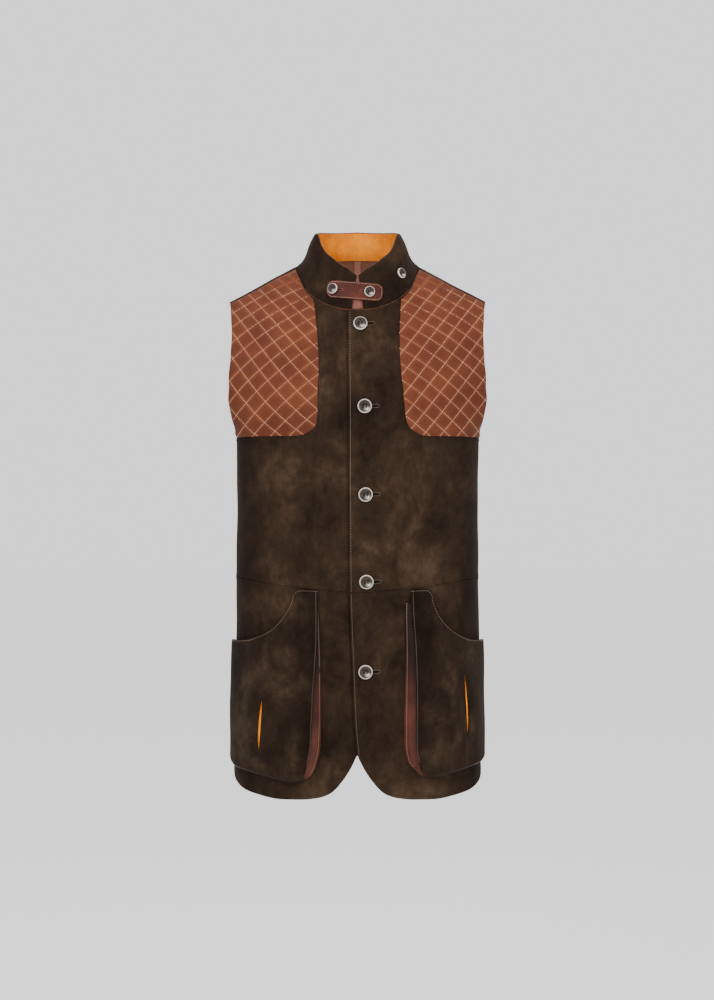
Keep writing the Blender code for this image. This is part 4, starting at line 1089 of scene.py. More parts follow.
def skin_of(*pieces: Piece) -> list[BVHTree]:
    """The faces of finished pieces, for laying other pieces on them."""
    bpy.context.view_layer.update()
    depsgraph = bpy.context.evaluated_depsgraph_get()
    return [BVHTree.FromObject(piece, depsgraph) for piece in pieces]


def lay_on(
    skins: Sequence[BVHTree], points: Array, outward: Array, gap: float,
    reach: float = LAY_REACH,
) -> Array:
    """Moves points along a direction until they clear the faces below.

    Args:
        skins: The faces that they lie on.
        points: Points near those faces.
        outward: The direction for each, or one for all.
        gap: How far above the faces they end.
        reach: How far up and down the faces are looked for.

    Returns:
        The points, laid.
    """
    outward = np.broadcast_to(outward, points.shape)
    laid = points.copy()
    for index, (point, away) in enumerate(zip(points, outward)):
        start, away = Vector(point + away * reach), Vector(away)
        hits = [skin.ray_cast(start, -away, 2.0 * reach) for skin in skins]
        found = [hit[3] for hit in hits if hit[0] is not None]
        if found:
            laid[index] = start - away * (min(found) - gap)
    return laid


class Cut(NamedTuple):
    """A cloth piece's flat cut, in metres, and what it lies on."""

    width: float
    length: float
    area: float
    on: tuple[str, ...] = ()


def settle(piece: Piece, node: str, cut: Cut | None = None) -> None:
    """Gives a cloth piece its place in the frame.

    Args:
        piece: The finished piece.
        node: The solid that it stands for.
        cut: Its flat cut, or None if it is no sheet; it is not used.
    """
    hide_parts(node)
    attach(piece)
    if cut is not None:
        flat, on = (cut.width, cut.length), list(cut.on)
        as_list(on)


def attach(piece: Piece) -> None:
    """Lets a piece ride with the vest."""
    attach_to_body(piece, BODY)
    LOG.info("%s: %d faces", piece.name, len(piece.data.polygons))


# Stitches


class Stitch(NamedTuple):
    """One kind of stitch: how far apart, how long and how thick."""

    pitch: float
    length: float
    radius: float


QUILT_STITCH = Stitch(0.003, 0.0027, 0.00024)
TOP_STITCH = Stitch(0.0034, 0.0026, 0.0003)
SADDLE_STITCH = Stitch(0.0036, 0.0019, 0.00042)
TAB_STITCH = Stitch(0.0026, 0.0019, 0.0003)
HOLE_STITCH = Stitch(0.00085, 0.0009, 0.00055)
EDGE_STITCHES = Stitch(0.0042, 0.0016, 0.00034)


class StitchTree:
    """Geometry nodes that lay stitches along a path of edges."""

    SOCKETS = (
        ("Path", "INPUT", "Geometry"), ("Pitch", "INPUT", "Float"),
        ("Stitch length", "INPUT", "Float"), ("Thread radius", "INPUT", "Float"),
        ("Thread", "INPUT", "Material"), ("Stitches", "OUTPUT", "Geometry"),
    )
    NODES = {
        "given": "NodeGroupInput", "result": "NodeGroupOutput",
        "path": "GeometryNodeMeshToCurve", "resample": "GeometryNodeResampleCurve",
        "along": "GeometryNodeInputTangent", "turn": "FunctionNodeAlignRotationToVector",
        "bead": "GeometryNodeMeshUVSphere", "size": "ShaderNodeCombineXYZ",
        "half": "ShaderNodeMath", "place": "GeometryNodeInstanceOnPoints",
        "real": "GeometryNodeRealizeInstances", "finish": "GeometryNodeSetMaterial",
    }
    LINKS = (
        ("given", "Path", "path", "Mesh"), ("path", "Curve", "resample", "Curve"),
        ("given", "Pitch", "resample", "Length"), ("along", "Tangent", "turn", "Vector"),
        ("given", "Stitch length", "half", 0), ("half", 0, "size", "X"),
        ("given", "Thread radius", "size", "Y"), ("given", "Thread radius", "size", "Z"),
        ("resample", "Curve", "place", "Points"), ("bead", "Mesh", "place", "Instance"),
        ("turn", "Rotation", "place", "Rotation"), ("size", "Vector", "place", "Scale"),
        ("place", "Instances", "real", "Geometry"), ("real", "Geometry", "finish", "Geometry"),
        ("given", "Thread", "finish", "Material"), ("finish", "Geometry", "result", "Stitches"),
    )
    BEAD = {"Segments": 6, "Rings": 4, "Radius": 1.0}

    def __init__(self) -> None:
        """Builds the node tree and its named inputs."""
        self.tree = bpy.data.node_groups.new("Stitches along a path", "GeometryNodeTree")
        self.inputs = {
            name: self.tree.interface.new_socket(
                name=name, in_out=way, socket_type="NodeSocket" + kind
            ).identifier
            for name, way, kind in self.SOCKETS
        }
        nodes = {name: self.tree.nodes.new(kind) for name, kind in self.NODES.items()}
        nodes["resample"].mode = "LENGTH"
        nodes["turn"].axis = "X"
        nodes["half"].operation = "MULTIPLY"
        nodes["half"].inputs[1].default_value = 0.5
        for name, value in self.BEAD.items():
            nodes["bead"].inputs[name].default_value = value
        for start, out, end, into in self.LINKS:
            self.tree.links.new(nodes[start].outputs[out], nodes[end].inputs[into])

    def lay(self, name: str, paths: Lines, stitch: Stitch, thread: Finish) -> None:
        """Sews along paths, as one added piece with a plain mesh.

        Args:
            name: The new piece's name.
            paths: Each path's points.
            stitch: The kind of stitch.
            thread: The thread's finish.
        """
        edges, start = [], 0
        for path in paths:
            edges += [(start + step, start + step + 1) for step in range(len(path) - 1)]
            start += len(path)
        mesh = bpy.data.meshes.new(name)
        mesh.from_pydata(np.vstack(paths).tolist(), edges, [])
        piece = stand(name, mesh)
        sewn = piece.modifiers.new("Stitches", "NODES")
        sewn.node_group = self.tree
        names = ("Pitch", "Stitch length", "Thread radius", "Thread")
        for socket, value in zip(names, (*stitch, material(thread))):
            sewn[self.inputs[socket]] = value
        result = plain_mesh(piece)
        piece.modifiers.clear()
        piece.data = result
        result.shade_smooth()
        attach(piece)


STITCHES = StitchTree()


# Fronts and back

NECK_SHARE = 10.0 / 18.0
BACK_SHOULDER_SHARE = 5.0 / 26.0
SEAM_RIDGE = 0.0007
SEAM_RIDGE_WIDTH = 0.003
EDGE_STITCH = 0.0028
EDGE_SHADOW = 0.002
HEM_STITCH = 0.0042
SEAM_STITCH = 0.003
STITCH_LIFT = 0.0001


def front_edge_x(side: int, height: Array) -> Array:
    """The front edge's distance past the middle, towards the other side."""
    if side > 0:
        return curve_of(LEFT_FRONT_EDGE, "height", "across")(height)
    return np.full(np.shape(height), -UNDERLAP_X)


def waist_turns(side: int, share: Array) -> Array:
    """The turns along the waist seam, from the front edge to the side seam."""
    edge_z = WAIST_SEAM[0].height
    edge = FORM.turn_at(front_edge_x(side, edge_z), edge_z)
    return mix(edge, 1.0 - SIDE_GAP_TURN, share)


def chest_map(side: int) -> Callable:
    """Places on a front above the chest line, from its edge to its armhole."""
    edge_x = float(front_edge_x(side, CHEST_Z))
    neck_x = float(front_edge_x(side, FRONT_NECKLINE[0].height))
    start = math.degrees(math.asin(neck_x / SIDE_NECK_X))
    neck = FORM.path(FORM.neckline(np.linspace(start, 90.0, 25)))
    shoulder = shoulder_seam(True)

    def top(u: Array) -> Array:
        past = (u - NECK_SHARE) / (1.0 - NECK_SHARE)
        return np.where((u < NECK_SHARE)[:, None], neck(u / NECK_SHARE), shoulder(past))

    def bottom(u: Array) -> Array:
        start_turn = FORM.turn_at(edge_x, CHEST_Z)
        return pairs(mix(start_turn, 1.0 - SIDE_GAP_TURN, u), CHEST_Z)

    def left(v: Array) -> Array:
        height = mix(CHEST_Z, FRONT_NECKLINE[0].height, v)
        return FORM.seen(front_edge_x(side, height), height)

    return spread(bottom, top, left, armhole(FRONT_ARMHOLE, True))


CHEST_MAPS = {side: chest_map(side) for side in (1, -1)}


def upper_places(side: int, u: Array, v: Array) -> Array:
    """Places on an upper front by share across and height, below the chest line too."""
    turn = waist_turns(side, u)
    bottom = pairs(turn, waist_z(turn) + SEAM_GAP / 2.0)
    chest = CHEST_MAPS[side](u, np.maximum(v, 0.0))
    return mix(chest, bottom, np.clip(-v, 0.0, 1.0)[..., None])


def skirt_map(side: int) -> Callable:
    """Places on a front below the waist seam."""
    marks = HEM if side > 0 else UNDERLAP_HEM + HEM
    hem = FORM.path([*(FORM.seen(*mark) for mark in marks), (1.0 - SIDE_GAP_TURN, HEM_SIDE_Z)])

    def top(u: Array) -> Array:
        turn = waist_turns(side, u)
        return pairs(turn, waist_z(turn) - SEAM_GAP / 2.0)

    waist_ends = top(np.array([0.0, 1.0]))[:, 1]

    def left(v: Array) -> Array:
        height = mix(marks[0].height, waist_ends[0], v)
        return FORM.seen(front_edge_x(side, height), height)

    def right(v: Array) -> Array:
        return pairs(1.0 - SIDE_GAP_TURN, mix(HEM_SIDE_Z, waist_ends[1], v))

    return spread(hem, top, left, right)


def front_at(side: int, places: Array, lift: Numbers = 0.0) -> Array:
    """Points of a front's inner face, lifted off it, on the left half."""
    turn, height = places[..., 0], places[..., 1]
    points = FORM.point(turn, height)
    overlap = side * FRONT_LAP / 2.0 * lap(points[..., 0])
    from_waist = (height - waist_seam(points[..., 0])) / SEAM_RIDGE_WIDTH
    ridge = SEAM_RIDGE * np.exp(-(from_waist**2))
    return FORM.place(turn, height, overlap + fold_out(on_side(points, side)) + ridge + lift)


def on_front(side: int, places: Array, lift: float = 0.0) -> Array:
    """Points of a front, lifted off its inner face, on its own side."""
    return on_side(front_at(side, places, lift), side)


def suede_panel(
    name: str, sheet: Sheet, points: Array, lines: Lines, side: int = 1, edge: tuple | None = None
) -> Piece:
    """A body panel: worn along its stitched lines, with painted shade round to the sides.

    Args:
        name: The piece's name.
        sheet: Its flat sheet.
        points: Each corner's place, on the left half.
        lines: Its stitched lines.
        side: 1 for the left half or the middle, -1 for the right half.
        edge: From and to which height the left front's edge throws its shadow on it.

    Returns:
        The piece.
    """
    cloth = Cloth(name, sheet, points, side).seams(lines)
    # Painted shade: darker round to the sides
    cloth.value(PAINTED_SHADE_ATTRIBUTE, side_shade(cloth.points))
    if edge is not None:
        away = nearest([under_edge(*edge)], cloth.points)
        cloth.value(SHADOW_ATTRIBUTE, np.exp(-((away / EDGE_SHADOW) ** 2)))
    return cloth.wall(SUEDE, Finish.SUEDE, Finish.WRONG_SIDE)


def back_at(places: Array, lift: Numbers = 0.0) -> Array:
    """Points of the back's inner face, lifted off it."""
    turn, height = places[..., 0], places[..., 1]
    return FORM.place(turn, height, fold_out(FORM.point(turn, height)) + lift)


def inset(places: Array, amount: float) -> Array:
    """A line of places moved aside over the form, to the left of its own direction."""
    turn, height = places[:, 0], places[:, 1]
    step = 0.001
    here = FORM.point(turn, height)
    along = unit(np.gradient(here, axis=0))
    aside = np.cross(FORM.normal(turn, height), along) * amount
    by_turn = (FORM.point(turn + step, height) - here) / step
    by_height = (FORM.point(turn, height + step) - here) / step
    turn_turn, height_height = (by_turn**2).sum(axis=1), (by_height**2).sum(axis=1)
    both = (by_turn * by_height).sum(axis=1)
    over_turn, over_height = (by_turn * aside).sum(axis=1), (by_height * aside).sum(axis=1)
    scale = turn_turn * height_height - both**2
    turn_move = (over_turn * height_height - over_height * both) / scale
    height_move = (over_height * turn_turn - over_turn * both) / scale
    return places + pairs(turn_move, height_move)


def side_shade(points: Array) -> Array:
    """How far round to the side each point lies, from 0 to 1."""
    reach = np.abs(points[:, 0]) / FORM.half_width(np.minimum(points[:, 2], CHEST_Z))
    return fade(0.62, 1.0, reach)


@dataclass
class UpperFront:
    """A suede front from the waist seam to the shoulder, cut out for its patch."""

    outline: "PatchOutline"
    columns: int = 78
    low_rows: int = 64
    high_rows: int = 88
    lip: float = 0.0007
    lip_width: float = 0.0035
    cut: Cut = Cut(0.265, 0.5, 0.0765)

    def rows(self) -> Array:
        """Row marks: -1 to 0 below the chest line, 0 to 1 above it."""
        first, last = self.outline.bottom_v(-1.0), self.outline.top_v(1.0)
        high = mix(first, last, 1.0 - (1.0 - even(self.high_rows)) ** 1.25)
        return np.concatenate([even(self.low_rows) - 1.0, high, [1.0]])

    def seam_places(self) -> list[Array]:
        """Stitched lines: round the patch, along the waist seam and down the front edge."""
        waist_turn = waist_turns(self.outline.side, even(80))
        waist = pairs(waist_turn, waist_z(waist_turn) + SEAM_STITCH)
        edge = edge_line(FRONT_NECKLINE[0].height - 0.004, WAIST_SEAM[0].height + SEAM_STITCH)
        return [self.outline.places(SEAM_STITCH), waist, edge]

    def dress(self) -> Piece:
        """Builds the piece, places it in the frame, sews its lines and gives it back."""
        side = self.outline.side
        size = self.outline.size
        sheet = flat_grid(even(self.columns) * size[0], self.rows() * size[1])
        self.outline.cut_hole(sheet)
        flat = corner_places(sheet)
        lip = self.lip * np.exp(-((self.outline.distance(flat) / self.lip_width) ** 2))
        points = front_at(side, upper_places(side, *(flat / size).T), lip)
        lines = self.seam_places()[:3 if side > 0 else 2]
        seams = [on_front(side, line) for line in lines]
        edge = None if side > 0 else (FRONT_NECKLINE[0].height, WAIST_SEAM[0].height)
        name = sided("suede_front_upper", side)
        piece = suede_panel(name, sheet, points, seams, side, edge)
        settle(piece, sided("front_upper", side), self.cut)
        sewn = [on_front(side, line, SUEDE + STITCH_LIFT) for line in lines]
        sewn[0] = on_front(side, lines[0], SUEDE + self.lip + STITCH_LIFT)
        name = sided("front_upper_stitches", side)
        STITCHES.lay(name, sewn[:2], TOP_STITCH, Finish.BROWN_THREAD)
        if side > 0:
            STITCHES.lay("front_edge_stitches_upper", sewn[2:], EDGE_STITCHES, Finish.EDGE_THREAD)
        return piece


def edge_line(start_z: float, end_z: float) -> Array:
    """The stitched line inside the left front's edge, between two heights."""
    height = np.linspace(start_z, end_z, 120)
    return FORM.seen(front_edge_x(1, height) + EDGE_STITCH, height)


def under_edge(start_z: float, end_z: float) -> Array:
    """Points of the right front just beside the left front's edge."""
    height = np.linspace(start_z, end_z, 120)
    return on_front(-1, FORM.seen(-front_edge_x(1, height), height))


@dataclass
class LowerFront:
    """A suede front from the waist seam to the cutaway hem."""

    side: int
    columns: int = 64
    rows: int = 92
    cut: Cut = Cut(0.265, 0.325, 0.08)

    def seam_places(self, places: Callable) -> list[Array]:
        """Stitched lines: along the waist seam, then round the hem and down the edge."""
        share = even(160)
        waist_turn = waist_turns(self.side, even(80))
        waist = pairs(waist_turn, waist_z(waist_turn) - SEAM_STITCH)
        hem = inset(places(share, np.zeros(share.shape)), HEM_STITCH)
        if self.side < 0:
            return [waist, hem]
        edge = edge_line(WAIST_SEAM[0].height - SEAM_STITCH, HEM[0].height - 0.002)
        return [waist, hem[hem[:, 1] < HEM[0].height - 0.004], edge]

    def dress(self) -> Piece:
        """Builds the piece, places it in the frame, sews its lines and gives it back."""
        side, places = self.side, skirt_map(self.side)
        sheet = flat_grid(even(self.columns), even(self.rows))
        points = front_at(side, places(*corner_places(sheet).T))
        lines = self.seam_places(places)
        seams = [on_front(side, line) for line in lines]
        edge = None if side > 0 else (WAIST_SEAM[0].height, HEM[0].height)
        name = sided("suede_front_lower", side)
        piece = suede_panel(name, sheet, points, seams, side, edge)
        settle(piece, sided("front_lower", side), self.cut)
        sewn = [on_front(side, line, SUEDE + STITCH_LIFT) for line in lines]
        name = sided("front_lower_stitches", side)
        STITCHES.lay(name, sewn[:2], TOP_STITCH, Finish.BROWN_THREAD)
        if side > 0:
            STITCHES.lay("front_edge_stitches_lower", sewn[2:], EDGE_STITCHES, Finish.EDGE_THREAD)
        return piece


@dataclass
class Back:
    """The suede back, one panel from hem to shoulders."""

    columns: int = 150
    low_rows: int = 100
    high_rows: int = 70
    cut: Cut = Cut(0.6, 0.8, 0.375)

    def places(self, u: Array, v: Array) -> Array:
        """Places on the back: v from -1 at the hem to 0 at the chest line and 1 at the top."""
        turn = mix(1.0 + SIDE_GAP_TURN, 3.0 - SIDE_GAP_TURN, u)
        hem = pairs(turn, mix(HEM_BACK_Z, HEM_SIDE_Z, np.abs(2.0 - turn)))
        chest = self.chest_map()(u, np.maximum(v, 0.0))
        return mix(chest, hem, np.clip(-v, 0.0, 1.0)[..., None])

    def chest_map(self) -> Callable:
        """Places above the chest line, from the left side to the right."""
        neck = FORM.path(FORM.neckline(np.linspace(90.01, 180.0, 25)))
        shoulder = shoulder_seam(False)
        arm = armhole(BACK_ARMHOLE, False)

        def flip(places: Array) -> Array:
            return places * np.array([-1.0, 1.0]) + np.array([4.0, 0.0])

        def half_top(u: Array) -> Array:
            on_shoulder = (u < BACK_SHOULDER_SHARE)[:, None]
            past = (u - BACK_SHOULDER_SHARE) / (0.5 - BACK_SHOULDER_SHARE)
            return np.where(on_shoulder, shoulder(1.0 - u / BACK_SHOULDER_SHARE), neck(past))

        def top(u: Array) -> Array:
            left_half = half_top(np.minimum(u, 1.0 - u))
            return np.where((u <= 0.5)[:, None], left_half, flip(left_half))

        def bottom(u: Array) -> Array:
            return pairs(mix(1.0 + SIDE_GAP_TURN, 3.0 - SIDE_GAP_TURN, u), CHEST_Z)

        return spread(bottom, top, arm, lambda v: flip(arm(v)))

    def seam_places(self) -> list[Array]:
        """Stitched lines: round the hem, and inside each armhole and shoulder."""
        share = even(200)
        lines = [inset(self.places(share, -np.ones(share.shape)), HEM_STITCH)]
        for u, turned in ((0.0, -1.0), (1.0, 1.0)):
            arm = self.places(np.full(share.shape, u), np.linspace(0.04, 0.985, share.size))
            lines.append(inset(arm, turned * HEM_STITCH))
        return lines

    def dress(self) -> Piece:
        """Builds the piece, places it in the frame, sews its lines and gives it back."""
        high = 1.0 - (1.0 - even(self.high_rows)) ** 1.5
        rows = np.concatenate([even(self.low_rows)[:-1] - 1.0, high])
        sheet = flat_grid(even(self.columns), rows)
        points = back_at(self.places(*corner_places(sheet).T))
        lines = self.seam_places()
        piece = suede_panel("suede_back", sheet, points, [back_at(line) for line in lines])
        settle(piece, "back", self.cut)
        sewn = [back_at(line, SUEDE + STITCH_LIFT) for line in lines]
        STITCHES.lay("back_stitches", sewn, TOP_STITCH, Finish.BROWN_THREAD)
        return piece


# Quilted shoulder patches


def heading(degrees: Numbers) -> Array:
    """Flat directions at angles."""
    angle = np.radians(degrees)
    return np.stack([np.cos(angle), np.sin(angle)], axis=-1)


class PatchOutline:
    """The patch's inner edge and round corner, laid flat."""

    TOP_V = 0.985
    BOTTOM_V = 0.012
    SEAM = 0.0011
    CORNER_CUTS = 12

    def __init__(self, side: int, top_x: float, bottom_x: float) -> None:
        """Works out the outline's lines.

        Args:
            side: 1 for the left front, -1 for the right.
            top_x: How far across the inner edge is near the neckline.
            bottom_x: How far across it is near the bottom.
        """
        self.side = side
        self.size = np.array([PATCH_WIDTH_FLAT, PATCH_HEIGHT_FLAT])
        self.high, low = self.inner_spot(top_x, 0.95), self.inner_spot(bottom_x, 0.15)
        along = unit(self.high - low)
        self.outward = np.array([-along[1], along[0]])
        corner = low + along * ((self.size[1] * self.BOTTOM_V - low[1]) / along[1])
        self.start = math.degrees(math.atan2(self.outward[1], self.outward[0])) % 360.0
        reach = PATCH_CORNER / math.cos(math.radians((270.0 - self.start) / 2.0))
        self.round = corner - heading((self.start + 270.0) / 2.0) * reach

    def inner_spot(self, across: float, v: float) -> Array:
        """The flat place at a share of the height that is seen this far across."""

        def across_at(u: Array) -> Array:
            places = CHEST_MAPS[self.side](u, np.full(u.shape, v))
            return FORM.point(places[..., 0], places[..., 1])[..., 0]

        u = float(solve(0.0, 1.0, across_at, np.array([across]))[0])
        return np.array([u, v]) * self.size

    def top_v(self, grow: float = 0.0) -> float:
        """The top edge's share of the height, or the suede's (1) or the leather's (-1) edge."""
        return self.TOP_V + grow * self.SEAM / 2.0 / self.size[1]

    def bottom_v(self, grow: float = 0.0) -> float:
        """The bottom edge's share of the height, moved up (1) or down (-1) by half the seam."""
        return self.BOTTOM_V + grow * self.SEAM / 2.0 / self.size[1]

    def lines(self, grow: float) -> list[tuple[Array, Array]]:
        """The inner edge and the corner, as points with outward directions."""
        lines = [(self.high + self.outward * grow, self.outward)]
        for step in range(1, self.CORNER_CUTS + 1):
            away = heading(mix(self.start, 270.0, step / (self.CORNER_CUTS + 1.0)))
            lines.append((self.round + away * (PATCH_CORNER + grow), away))
        return lines

    def inside(self, face: bmesh.types.BMFace, lines: Sequence) -> bool:
        """Whether a flat face lies at the patch's height and within its edge lines."""
        middle = np.array(face.calc_center_median()[:2])
        if not self.BOTTOM_V * self.size[1] < middle[1] < self.TOP_V * self.size[1]:
            return False
        return all((middle - point) @ outward < 0.0 for point, outward in lines)

    def cut_hole(self, sheet: Sheet) -> None:
        """Takes out of a flat sheet what the patch's edge lines enclose."""
        lines = self.lines(self.SEAM / 2.0)
        inside = [face for face in sheet.faces if self.inside(face, [])]
        for count, (point, outward) in enumerate(lines, start=1):
            edges = {edge for face in inside for edge in face.edges}
            corners = {corner for face in inside for corner in face.verts}
            trim(sheet, point, outward, inside + list(edges) + list(corners))
            inside = [face for face in sheet.faces if self.inside(face, lines[:count])]
        bmesh.ops.delete(sheet, geom=inside, context="FACES")

    def flat_line(self, grow: float) -> Array:
        """The outline from the top down, round the corner and on to the armhole."""
        along = np.array([self.outward[1], -self.outward[0]])
        edge = self.high + self.outward * grow
        upper = edge + along * ((self.size[1] * self.TOP_V - edge[1]) / along[1])
        first = self.round + self.outward * (PATCH_CORNER + grow)
        straight = mix(upper, first, even(80)[:, None])
        angles = np.linspace(self.start, 270.0, 24)[1:]
        bend = self.round + heading(angles) * (PATCH_CORNER + grow)
        end = np.array([self.size[0] * 0.998, self.size[1] * self.BOTTOM_V - grow])
        return np.vstack([straight, bend, mix(bend[-1], end, even(60)[1:, None])])

    def distance(self, flat: Array) -> Array:
        """How far flat places are from the outline."""
        tree = tree_of([(*spot, 0.0) for spot in self.flat_line(0.0)])
        return np.array([tree.find((*spot, 0.0))[2] for spot in flat])

    def places(self, grow: float) -> Array:
        """The outline, grown, as places on the form."""
        u, v = (self.flat_line(grow) / self.size).T
        return upper_places(self.side, u, v)


class QuiltLines(NamedTuple):
    """A family of quilting lines, seen from the front: a whole count lies on a line."""

    spacing: float
    angle: float
    start: float
    bow: float
    twist: float
    bend: float
    sway: float

    def count(self, across: Array, up: Array) -> Array:
        """The count at places measured from the patch's middle."""
        turn = math.radians(self.angle)
        straight = (across * math.cos(turn) + up * math.sin(turn)) / self.spacing
        bent = self.bow * across**2 + self.twist * across * up + self.bend * up**2
        return self.start + straight + bent + self.sway * up**3

    def across(self, number: int, up: Array, reach: float) -> Array:
        """How far across a line lies at heights, or beyond reach where it isn't met."""
        rising = math.copysign(1.0, math.cos(math.radians(self.angle)))

        def value_at(at: Array) -> Array:
            return rising * self.count(at, up)

        return solve(-reach, reach, value_at, np.full(up.shape, rising * number))


@dataclass
class ShoulderPatch:
    """A diamond-quilted leather patch: puffed between its stitch lines, plain inside."""

    outline: PatchOutline
    middle: tuple[float, float]
    families: tuple[QuiltLines, QuiltLines]
    step: float = 0.0015
    reach: float = 0.125
    most_lines: int = 9
    edge: float = 0.0045
    seam_gap: float = 0.0022
    fill: float = 0.35

    def sheet(self) -> Sheet:
        """The patch's flat sheet, trimmed to its outline."""
        outline, half = self.outline, self.outline.SEAM / 2.0
        size = outline.size
        columns, rows = (even(round(length / self.step)) * length for length in size)
        sheet = flat_grid(columns, rows)
        trim(sheet, (0.0, size[1] * outline.TOP_V - half), (0.0, 1.0))
        trim(sheet, (0.0, size[1] * outline.BOTTOM_V + half), (0.0, -1.0))
        for point, outward in outline.lines(-half):
            trim(sheet, point, outward)
        bmesh.ops.remove_doubles(sheet, verts=sheet.verts, dist=0.0002)
        return sheet

    def puff(self, places: Array) -> Array:
        """How far places rise: 0 on the stitch lines, 1 in a cell's middle."""
        points = on_side(FORM.point(places[..., 0], places[..., 1]), self.outline.side)
        across, up = points[..., 0] - self.middle[0], points[..., 2] - self.middle[1]
        reach = np.zeros(across.shape)
        for lines in self.families:
            count = lines.count(across, up)
            reach = np.maximum(reach, 1.0 - 2.0 * np.abs(count - np.round(count)))
        return 1.0 - reach**3.2

    def from_edge(self, flat: Array) -> Array:
        """How far flat places are from the patch's nearest edge."""
        size = self.outline.size
        near = np.minimum(size[0] - flat[:, 0], size[1] * self.outline.TOP_V - flat[:, 1])
        return np.minimum(near, self.outline.distance(flat))

    def build(self) -> Piece:
        """Builds the piece."""
        side = self.outline.side
        sheet = self.sheet()
        flat = corner_places(sheet)
        places = upper_places(side, *(flat / self.outline.size).T)
        puff = self.puff(places)
        from_edge = self.from_edge(flat)
        points = front_at(side, places)
        self.kept = points[from_edge > self.seam_gap]
        cloth = Cloth(sided("quilted_patch", side), sheet, points, side)
        # Painted shade on the patch
        cloth.value(PAINTED_SHADE_ATTRIBUTE, self.shade(cloth.points))
        # Kept for the painted shade in the quilting's furrows
        cloth.value(PUFF_ATTRIBUTE, np.minimum(puff - 1.0, 0.0) * 0.16 + 0.02)
        thickness = QUILT_LOW + QUILT_PUFF
        share = puff * fade(0.0, self.edge, from_edge)
        return cloth.wall(
            thickness, Finish.QUILT, Finish.WRONG_SIDE, True, share, QUILT_LOW / thickness
        )

    @staticmethod
    def shade(points: Array) -> Array:
        """Painted shade: darker towards the bottom and the armhole."""
        low = fade(-0.17, -0.27, points[:, 2])
        outer = fade(0.135, 0.195, np.abs(points[:, 0]))
        return 0.15 * low + 0.3 * outer * fade(-0.09, -0.2, points[:, 2])

    def quilting(self) -> list[Array]:
        """The stitched lines, cut where they leave the patch."""
        tree, side = tree_of(self.kept), self.outline.side
        up = np.arange(-self.reach, self.reach, self.step)
        paths = []
        for lines in self.families:
            for number in range(-self.most_lines, self.most_lines + 1):
                across = lines.across(number, up, self.reach)
                met = np.abs(across) < 0.99 * self.reach
                height = up[met] + self.middle[1]
                place = FORM.seen(side * (across[met] + self.middle[0]), height)
                inside = [tree.find(point)[2] < self.step for point in front_at(side, place)]
                sewn = on_front(side, place, QUILT_LOW + 0.00012)
                breaks = np.flatnonzero(np.diff(np.array(inside, int))) + 1
                for path, flags in zip(np.split(sewn, breaks), np.split(inside, breaks)):
                    if len(path) > 3 and flags[0]:
                        paths.append(path)
        return paths

    def dress(self) -> None:
        """Builds the patch, places it in the frame and quilts it."""
        side, piece = self.outline.side, self.build()
        settle(piece, sided("shoulder_patch", side))
        STITCHES.lay(sided("quilting", side), self.quilting(), QUILT_STITCH, Finish.PALE_THREAD)


RIGHT_PATCH = ShoulderPatch(
    PatchOutline(-1, 0.0645, 0.0592), (-0.1252, -0.1574), table(
        QuiltLines, (0.0205, 130, 0.35, 27, 43, 44, 180), (0.0222, 39, 0.78, -10, 61, 5, 330)
    )
)
LEFT_PATCH = ShoulderPatch(
    PatchOutline(1, 0.064, 0.0712), (0.1267, -0.1573), table(
        QuiltLines, (0.0203, 143, 0.9, -6, -2, -3, 74), (0.0192, 53, 0.53, 36, -27, 46, 157)
    )
)


@dataclass
class SeamCords:
    """The sewn edges that close the narrow gaps between the body's pieces."""

    radius: float = 0.0007
    depth: float = SUEDE / 2.0
    steps: int = 60

    def paths(self, outline: PatchOutline) -> list[Array]:
        """The side seam, the shoulder seam, the patch's top and the rest of its edge."""
        side = outline.side
        height = np.linspace(HEM_SIDE_Z + 0.001, ARMPIT_Z - 0.001, 2 * self.steps)
        top_u = np.linspace(outline.flat_line(0.0)[0, 0] / outline.size[0], 0.998, self.steps)
        seams = [
            pairs(1.0, height),
            shoulder_seam(True)(np.linspace(0.01, 0.99, self.steps)),
            upper_places(side, top_u, np.full(top_u.shape, outline.TOP_V)),
            outline.places(0.0),
        ]
        return [on_front(side, seam, self.depth) for seam in seams]

    def dress(self, outline: PatchOutline) -> None:
        """Lays the cords on one side."""
        cord(sided("seam_cords", outline.side), self.paths(outline), self.radius, Finish.LIP, 1)


# Collar


